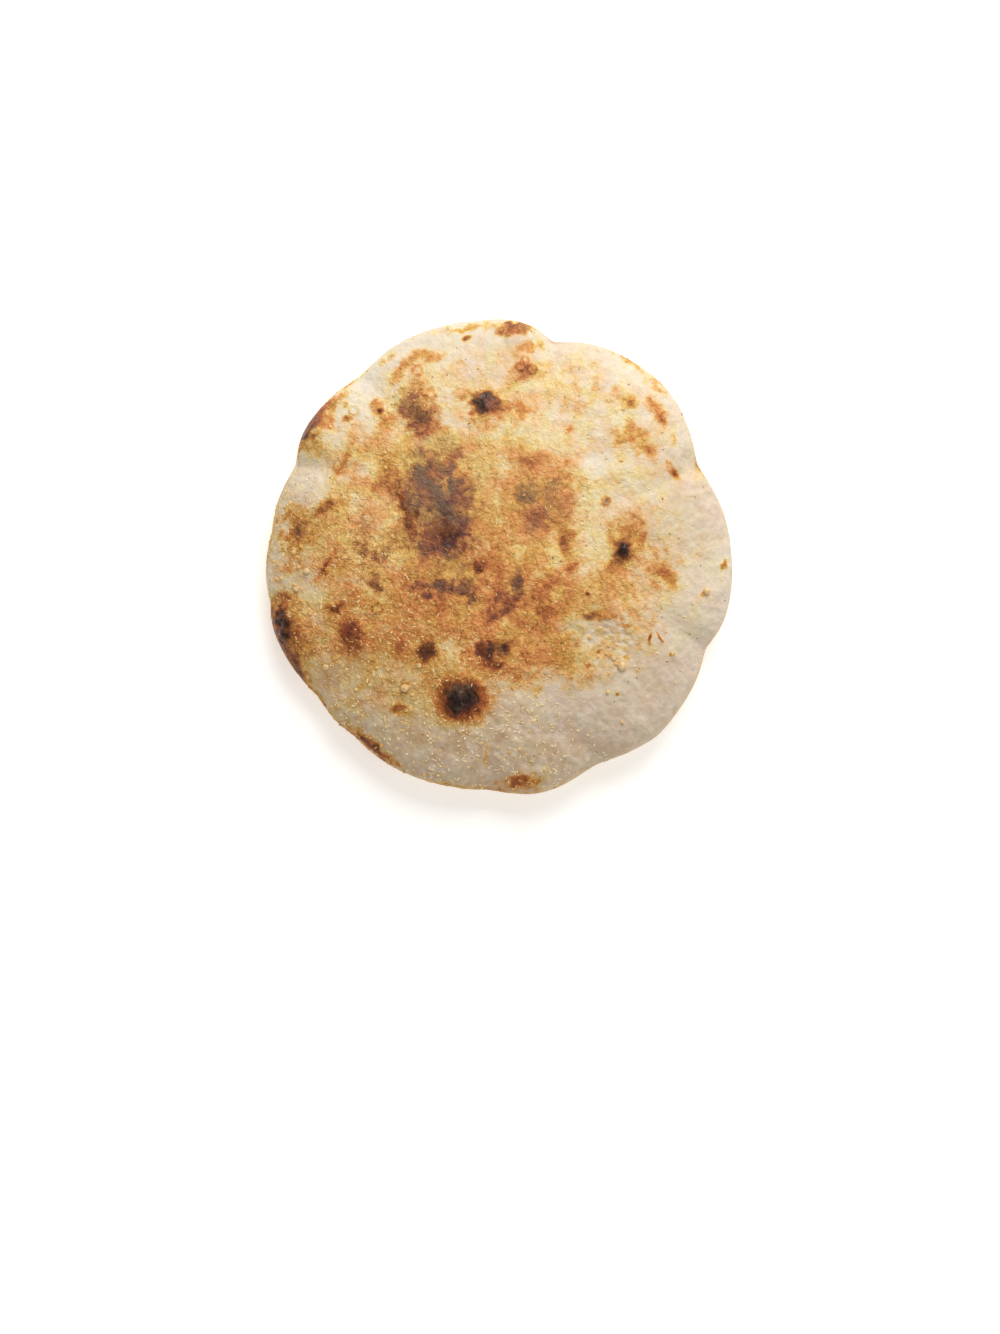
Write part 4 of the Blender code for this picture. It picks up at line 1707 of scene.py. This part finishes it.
@dataclass
class Scatter:
    """Many small grains on the crust, placed by Geometry Nodes and made a plain mesh."""

    kind: GrainKind
    finish: SemolinaGrain
    amount: int
    size: float
    seed: int
    faceting: int = 1
    bake: BakeMap = field(default_factory=BakeMap)
    # Grains lie in wide patches and, within them, in small groups. Each kind's seed is added.
    patches: Layer = Layer(10.0, 1.2, 60)
    patch_cover: float = 0.45
    groups: Layer = Layer(3.2, 2.0, 70)
    group_cover: float = 0.5
    least_group: float = 0.3
    least_patch: float = 0.2
    # They lie most thickly to the lower left, and only on what faces up.
    thick_start: float = 2.0
    thick_slant: float = 1.2
    thick_width: float = 60.0
    upper_side: tuple[float, float] = (7.0, 4.0)
    # Char sheds them, though less so in the grainy part at the lower left.
    shedding: tuple[float, float] = (0.50, 0.14)
    shed_share: float = 0.95
    grainy_start: float = -12.0
    grainy_slant: float = 0.6
    grainy_x: float = -30.0
    grainy_width: float = 16.0
    grainy_share: float = 0.25
    # Marks at least this dark and this wide are almost bare.
    bare_level: float = 0.7
    bare_width: float = 2.0
    bare_share: float = 0.93
    bare_power: float = 6.0
    semolina_least: float = 0.06
    toasted_least: float = 0.35
    toasted: tuple[float, float] = (0.2, 0.2)
    # Crumbs gather in the crater.
    crumb_least: float = 0.1
    crumb_heap: Bubble = Bubble(35.0, -31.0, 11.0)
    heap_height: float = 4.0
    heap_power: float = 3.0
    # Most that a grain tips to either side, in radians.
    tip: float = 0.35

    def density(self, crust: bpy.types.Object) -> np.ndarray:
        """How thickly the grains lie at each of the crust's vertices, from 0 to 1.

        Args:
            crust: the finished crust.

        Returns:
            One value for each vertex.
        """
        count = len(crust.data.vertices)
        co = np.zeros(count * 3)
        crust.data.vertices.foreach_get("co", co)
        co = co.reshape(-1, 3) / MM
        x, y, z = co.T
        toast = np.zeros(count)
        crust.data.attributes["toast"].data.foreach_get("value", toast)
        patch = self.clumped(co, self.patches, self.patch_cover)
        group = self.clumped(co, self.groups, self.group_cover)
        patch *= self.least_group + (1.0 - self.least_group) * group
        lower_left = eased((self.thick_start - y - self.thick_slant * x) / self.thick_width)
        from_grainy = self.grainy_start - y - self.grainy_slant * (x - self.grainy_x)
        shed = self.shed_share - self.grainy_share * eased(from_grainy / self.grainy_width)
        clear = 1.0 - step_up(toast, *self.shedding) * shed
        for mark in self.bake.marks:
            if mark.level >= self.bare_level and mark.across >= self.bare_width:
                reach = self.bake.slack * self.bake.reach(x, y, mark)
                clear *= 1.0 - self.bare_share * bell(reach, self.bare_power)
        spread = self.spread(x, y, toast, lower_left)
        thickness = self.least_patch + (1.0 - self.least_patch) * patch
        return step_up(z, *self.upper_side) * clear * spread * thickness

    def clumped(self, places: np.ndarray, layer: Layer, cover: float) -> np.ndarray:
        """Clumps of this kind's own, from 0 between them to 1 inside them."""
        field_of_clumps = noise_field(places, layer.span, layer.seed + self.seed)
        return eased(cover + layer.strength * field_of_clumps)

    def spread(
        self, x: np.ndarray, y: np.ndarray, toast: np.ndarray, lower_left: np.ndarray
    ) -> np.ndarray:
        """Where this kind lies.

        Args:
            x: places across the loaf, in millimetres.
            y: places up the loaf.
            toast: how far each place is baked.
            lower_left: how near each place is to the lower left, from 0 to 1.

        Returns:
            The share of this kind at each place.
        """
        if self.kind is GrainKind.SEMOLINA:
            return self.semolina_least + (1.0 - self.semolina_least) * lower_left
        if self.kind is GrainKind.TOASTED:
            thickness = self.toasted_least + (1.0 - self.toasted_least) * lower_left
            return step_up(toast, *self.toasted) * thickness
        if self.kind is GrainKind.CRUMB:
            heap = self.crumb_heap
            off = np.hypot(x - heap.x, y - heap.y) / heap.radius
            return self.crumb_least + lower_left + self.heap_height * bell(off, self.heap_power)
        return np.ones_like(x)

    def tree(self) -> bpy.types.GeometryNodeTree:
        """The node tree: points on the crust, one small grain on each, realized.

        Returns:
            The new tree.
        """
        tree = bpy.data.node_groups.new(f"{self.kind.value}_scatter", "GeometryNodeTree")
        for name, kind in (
            ("Geometry", "Geometry"),
            ("Thickness of cover", "Float"),
            ("Grain size", "Float"),
            ("Seed", "Int"),
            ("Finish", "Material"),
        ):
            tree.interface.new_socket(name, in_out="INPUT", socket_type=f"NodeSocket{kind}")
        tree.interface.new_socket("Geometry", in_out="OUTPUT", socket_type="NodeSocketGeometry")
        given = add_node(tree, "NodeGroupInput").outputs
        cover = add_node(
            tree, "GeometryNodeInputNamedAttribute", {"Name": "cover"}, data_type="FLOAT"
        ).outputs["Attribute"]
        density = add_node(
            tree, "ShaderNodeMath", {0: cover, 1: given["Thickness of cover"]}, operation="MULTIPLY"
        ).outputs[0]
        points = add_node(
            tree,
            "GeometryNodeDistributePointsOnFaces",
            {"Mesh": given["Geometry"], "Density": density, "Seed": given["Seed"]},
        )
        grain = add_node(
            tree, "GeometryNodeMeshIcoSphere", {"Radius": given["Grain size"], "Subdivisions": self.faceting}
        ).outputs["Mesh"]
        spin = add_node(
            tree,
            "FunctionNodeRandomValue",
            {0: (0.0, 0.0, 0.0), 1: (self.tip, self.tip, 2.0 * math.pi), "Seed": given["Seed"]},
            data_type="FLOAT_VECTOR",
        ).outputs[0]
        turned = add_node(
            tree,
            "FunctionNodeRotateRotation",
            {"Rotation": points.outputs["Rotation"], "Rotate By": spin},
            rotation_space="LOCAL",
        ).outputs[0]
        low, high = STRETCHES[self.kind]
        stretch = add_node(
            tree,
            "FunctionNodeRandomValue",
            {0: low, 1: high, "Seed": given["Seed"]},
            data_type="FLOAT_VECTOR",
        ).outputs[0]
        placed = add_node(
            tree,
            "GeometryNodeInstanceOnPoints",
            {
                "Points": points.outputs["Points"],
                "Instance": grain,
                "Rotation": turned,
                "Scale": stretch,
            },
        ).outputs["Instances"]
        realized = add_node(tree, "GeometryNodeRealizeInstances", {"Geometry": placed}).outputs["Geometry"]
        dressed = add_node(
            tree, "GeometryNodeSetMaterial", {"Geometry": realized, "Material": given["Finish"]}
        ).outputs["Geometry"]
        add_node(tree, "NodeGroupOutput", {"Geometry": dressed})
        return tree

    def build(self, crust: bpy.types.Object) -> bpy.types.Object:
        """Scatters the grains over the crust.

        Args:
            crust: the finished crust.

        Returns:
            The grains as one plain mesh object.
        """
        carrier_mesh = crust.data.copy()
        cover = self.density(crust)
        attribute = carrier_mesh.attributes.new("cover", "FLOAT", "POINT")
        attribute.data.foreach_set("value", cover.astype(np.float32))
        area = sum(face.area * cover[face.vertices[0]] for face in carrier_mesh.polygons)
        carrier = bpy.data.objects.new("carrier", carrier_mesh)
        bpy.context.scene.collection.objects.link(carrier)
        modifier = carrier.modifiers.new("scatter", "NODES")
        tree = self.tree()
        modifier.node_group = tree
        settings = {
            "Thickness of cover": self.amount / area,
            "Grain size": 0.5 * self.size * MM,
            "Seed": self.seed,
            "Finish": self.finish.material(),
        }
        for item in tree.interface.items_tree:
            if item.in_out == "INPUT" and item.name in settings:
                modifier[item.identifier] = settings[item.name]
        bpy.context.view_layer.update()
        graph = bpy.context.evaluated_depsgraph_get()
        mesh = bpy.data.meshes.new_from_object(carrier.evaluated_get(graph), depsgraph=graph)
        mesh.name = self.kind.value
        bpy.data.objects.remove(carrier)
        grains = bpy.data.objects.new(self.kind.value, mesh)
        bpy.context.scene.collection.objects.link(grains)
        return grains


@dataclass(frozen=True)
class DoughBeads:
    """The few beads of dough that are large enough to place one by one."""

    finish: SemolinaGrain
    beads: tuple[Bubble, ...] = BEADS
    flatness: float = 0.75
    sunk: float = 0.55
    fineness: int = 3
    name: str = "dough_beads"

    def build(self, crust: bpy.types.Object, middle: tuple[float, float]) -> bpy.types.Object:
        """Sets each bead on the crust.

        Args:
            crust: the finished crust.
            middle: middle of the loaf's footprint, in millimetres.

        Returns:
            All beads as one object.
        """
        bm = bmesh.new()
        for bead in self.beads:
            x = (bead.x - middle[0]) * MM
            y = (bead.y - middle[1]) * MM
            hit = crust.ray_cast(Vector((x, y, 1.0)), Vector((0.0, 0.0, -1.0)))[1]
            rise = bead.radius * self.flatness * (1.0 - self.sunk) * MM
            place = Matrix.Translation((x, y, hit.z + rise))
            half_width = bead.radius * MM
            half_height = bead.radius * self.flatness * MM
            stretch = Matrix.Diagonal((half_width, half_width, half_height, 1.0))
            bmesh.ops.create_icosphere(
                bm, subdivisions=self.fineness, radius=1.0, matrix=place @ stretch
            )
        mesh = bpy.data.meshes.new(self.name)
        bm.to_mesh(mesh)
        bm.free()
        mesh.shade_smooth()
        mesh.materials.append(self.finish.material())
        beads = bpy.data.objects.new(self.name, mesh)
        bpy.context.scene.collection.objects.link(beads)
        return beads


# --------------------------------------------------------------------------------------
# The studio
# --------------------------------------------------------------------------------------


class Lamp(NamedTuple):
    """A square soft light: where it hangs and how wide it is, in metres, and its watts."""

    name: str
    place: tuple[float, float, float]
    width: float
    power: float


@dataclass
class Studio:
    """Floor, lights and a camera that looks straight down on the loaf."""

    # What the camera sees is this high, and its middle is this far below the loaf's.
    view_height: float = 446.9
    below_middle: float = 36.85
    lens: float = 85.0
    sensor: float = 36.0
    farthest: float = 20.0
    # The floor is this wide, and this far below the loaf's base so that the two don't touch.
    floor_width: float = 8.0
    floor_gap: float = 0.0002
    # A broad key beyond the loaf's upper edge, and a weak fill.
    lamps: tuple[Lamp, ...] = (
        Lamp("key", (0.2, 0.92, 0.82), 0.8, 12.4),
        Lamp("fill", (0.5, -0.6, 0.9), 1.0, 2.4),
    )
    room_colour: str = "fbfaf7"
    room_light: float = 0.36
    finish: StudioFloor = field(default_factory=StudioFloor)

    def add_floor(self) -> bpy.types.Object:
        """Lays the paper under the loaf.

        Returns:
            The floor's object.
        """
        half = 0.5 * self.floor_width
        mesh = bpy.data.meshes.new("floor")
        corners = [(-half, -half, 0.0), (half, -half, 0.0), (half, half, 0.0), (-half, half, 0.0)]
        mesh.from_pydata(corners, [], [(0, 1, 2, 3)])
        mesh.materials.append(self.finish.material())
        floor = bpy.data.objects.new("floor", mesh)
        floor.location.z = -self.floor_gap
        bpy.context.scene.collection.objects.link(floor)
        return floor

    def add_camera(self, form: LoafForm) -> None:
        """Sets the camera over a point below the loaf's middle, looking straight down.

        Args:
            form: the loaf's form, for its middle and its height.
        """
        data = bpy.data.cameras.new("camera")
        data.lens = self.lens
        data.sensor_width = self.sensor
        data.clip_end = self.farthest
        camera = bpy.data.objects.new("camera", data)
        middle = form.footprint_middle()
        distance = self.view_height * self.lens / self.sensor
        camera.location = (
            -middle[0] * MM,
            (-self.below_middle - middle[1]) * MM,
            (form.rim_height + distance) * MM,
        )
        bpy.context.scene.collection.objects.link(camera)
        bpy.context.scene.camera = camera

    def light(self) -> None:
        """Hangs the lamps, which all face the loaf, in a pale room."""
        for lamp in self.lamps:
            data = bpy.data.lights.new(lamp.name, "AREA")
            data.size = lamp.width
            data.energy = lamp.power
            hung = bpy.data.objects.new(lamp.name, data)
            hung.location = lamp.place
            hung.rotation_euler = (-Vector(lamp.place)).to_track_quat("-Z", "Y").to_euler()
            bpy.context.scene.collection.objects.link(hung)
        world = bpy.data.worlds.new("room")
        world.use_nodes = True
        background = world.node_tree.nodes["Background"]
        background.inputs["Color"].default_value = linear_colour(self.room_colour)
        background.inputs["Strength"].default_value = self.room_light
        bpy.context.scene.world = world
        bpy.context.scene.view_settings.view_transform = "Standard"


# --------------------------------------------------------------------------------------
# Assembly
# --------------------------------------------------------------------------------------


def hand_over(piece: bpy.types.Object) -> None:
    """Makes a piece part of the object: it stands for the solid and rides on its body.

    Args:
        piece: the finished piece.
    """
    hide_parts(NODE)
    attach(piece, BODY)
    LOG.info("%s: %d triangles", piece.name, len(piece.data.polygons))


def main() -> None:
    """Builds the loaf and its studio."""
    logging.basicConfig(level=logging.INFO, format="%(name)s: %(message)s")
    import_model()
    crust_maker = Crust()
    crust = crust_maker.build()
    hand_over(crust)
    pale_grain = SemolinaGrain()
    golden_grain = SemolinaGrain("toasted_durum_semolina", GOLDEN_STOPS)
    bran = SemolinaGrain("wheat_bran", BRAN_STOPS)
    scatters = (
        Scatter(GrainKind.SEMOLINA, pale_grain, 1300, 1.35, 3),
        Scatter(GrainKind.TOASTED, golden_grain, 1700, 1.3, 4),
        Scatter(GrainKind.BRAN, bran, 130, 0.8, 5),
        Scatter(GrainKind.CRUMB, golden_grain, 90, 1.5, 6, 2),
    )
    for scatter in scatters:
        hand_over(scatter.build(crust))
    beads = DoughBeads(SemolinaGrain("baked_dough", DOUGH_STOPS))
    hand_over(beads.build(crust, crust_maker.form.footprint_middle()))
    studio = Studio()
    studio.add_floor()
    studio.add_camera(crust_maker.form)
    studio.light()


if __name__ == "__main__":
    main()
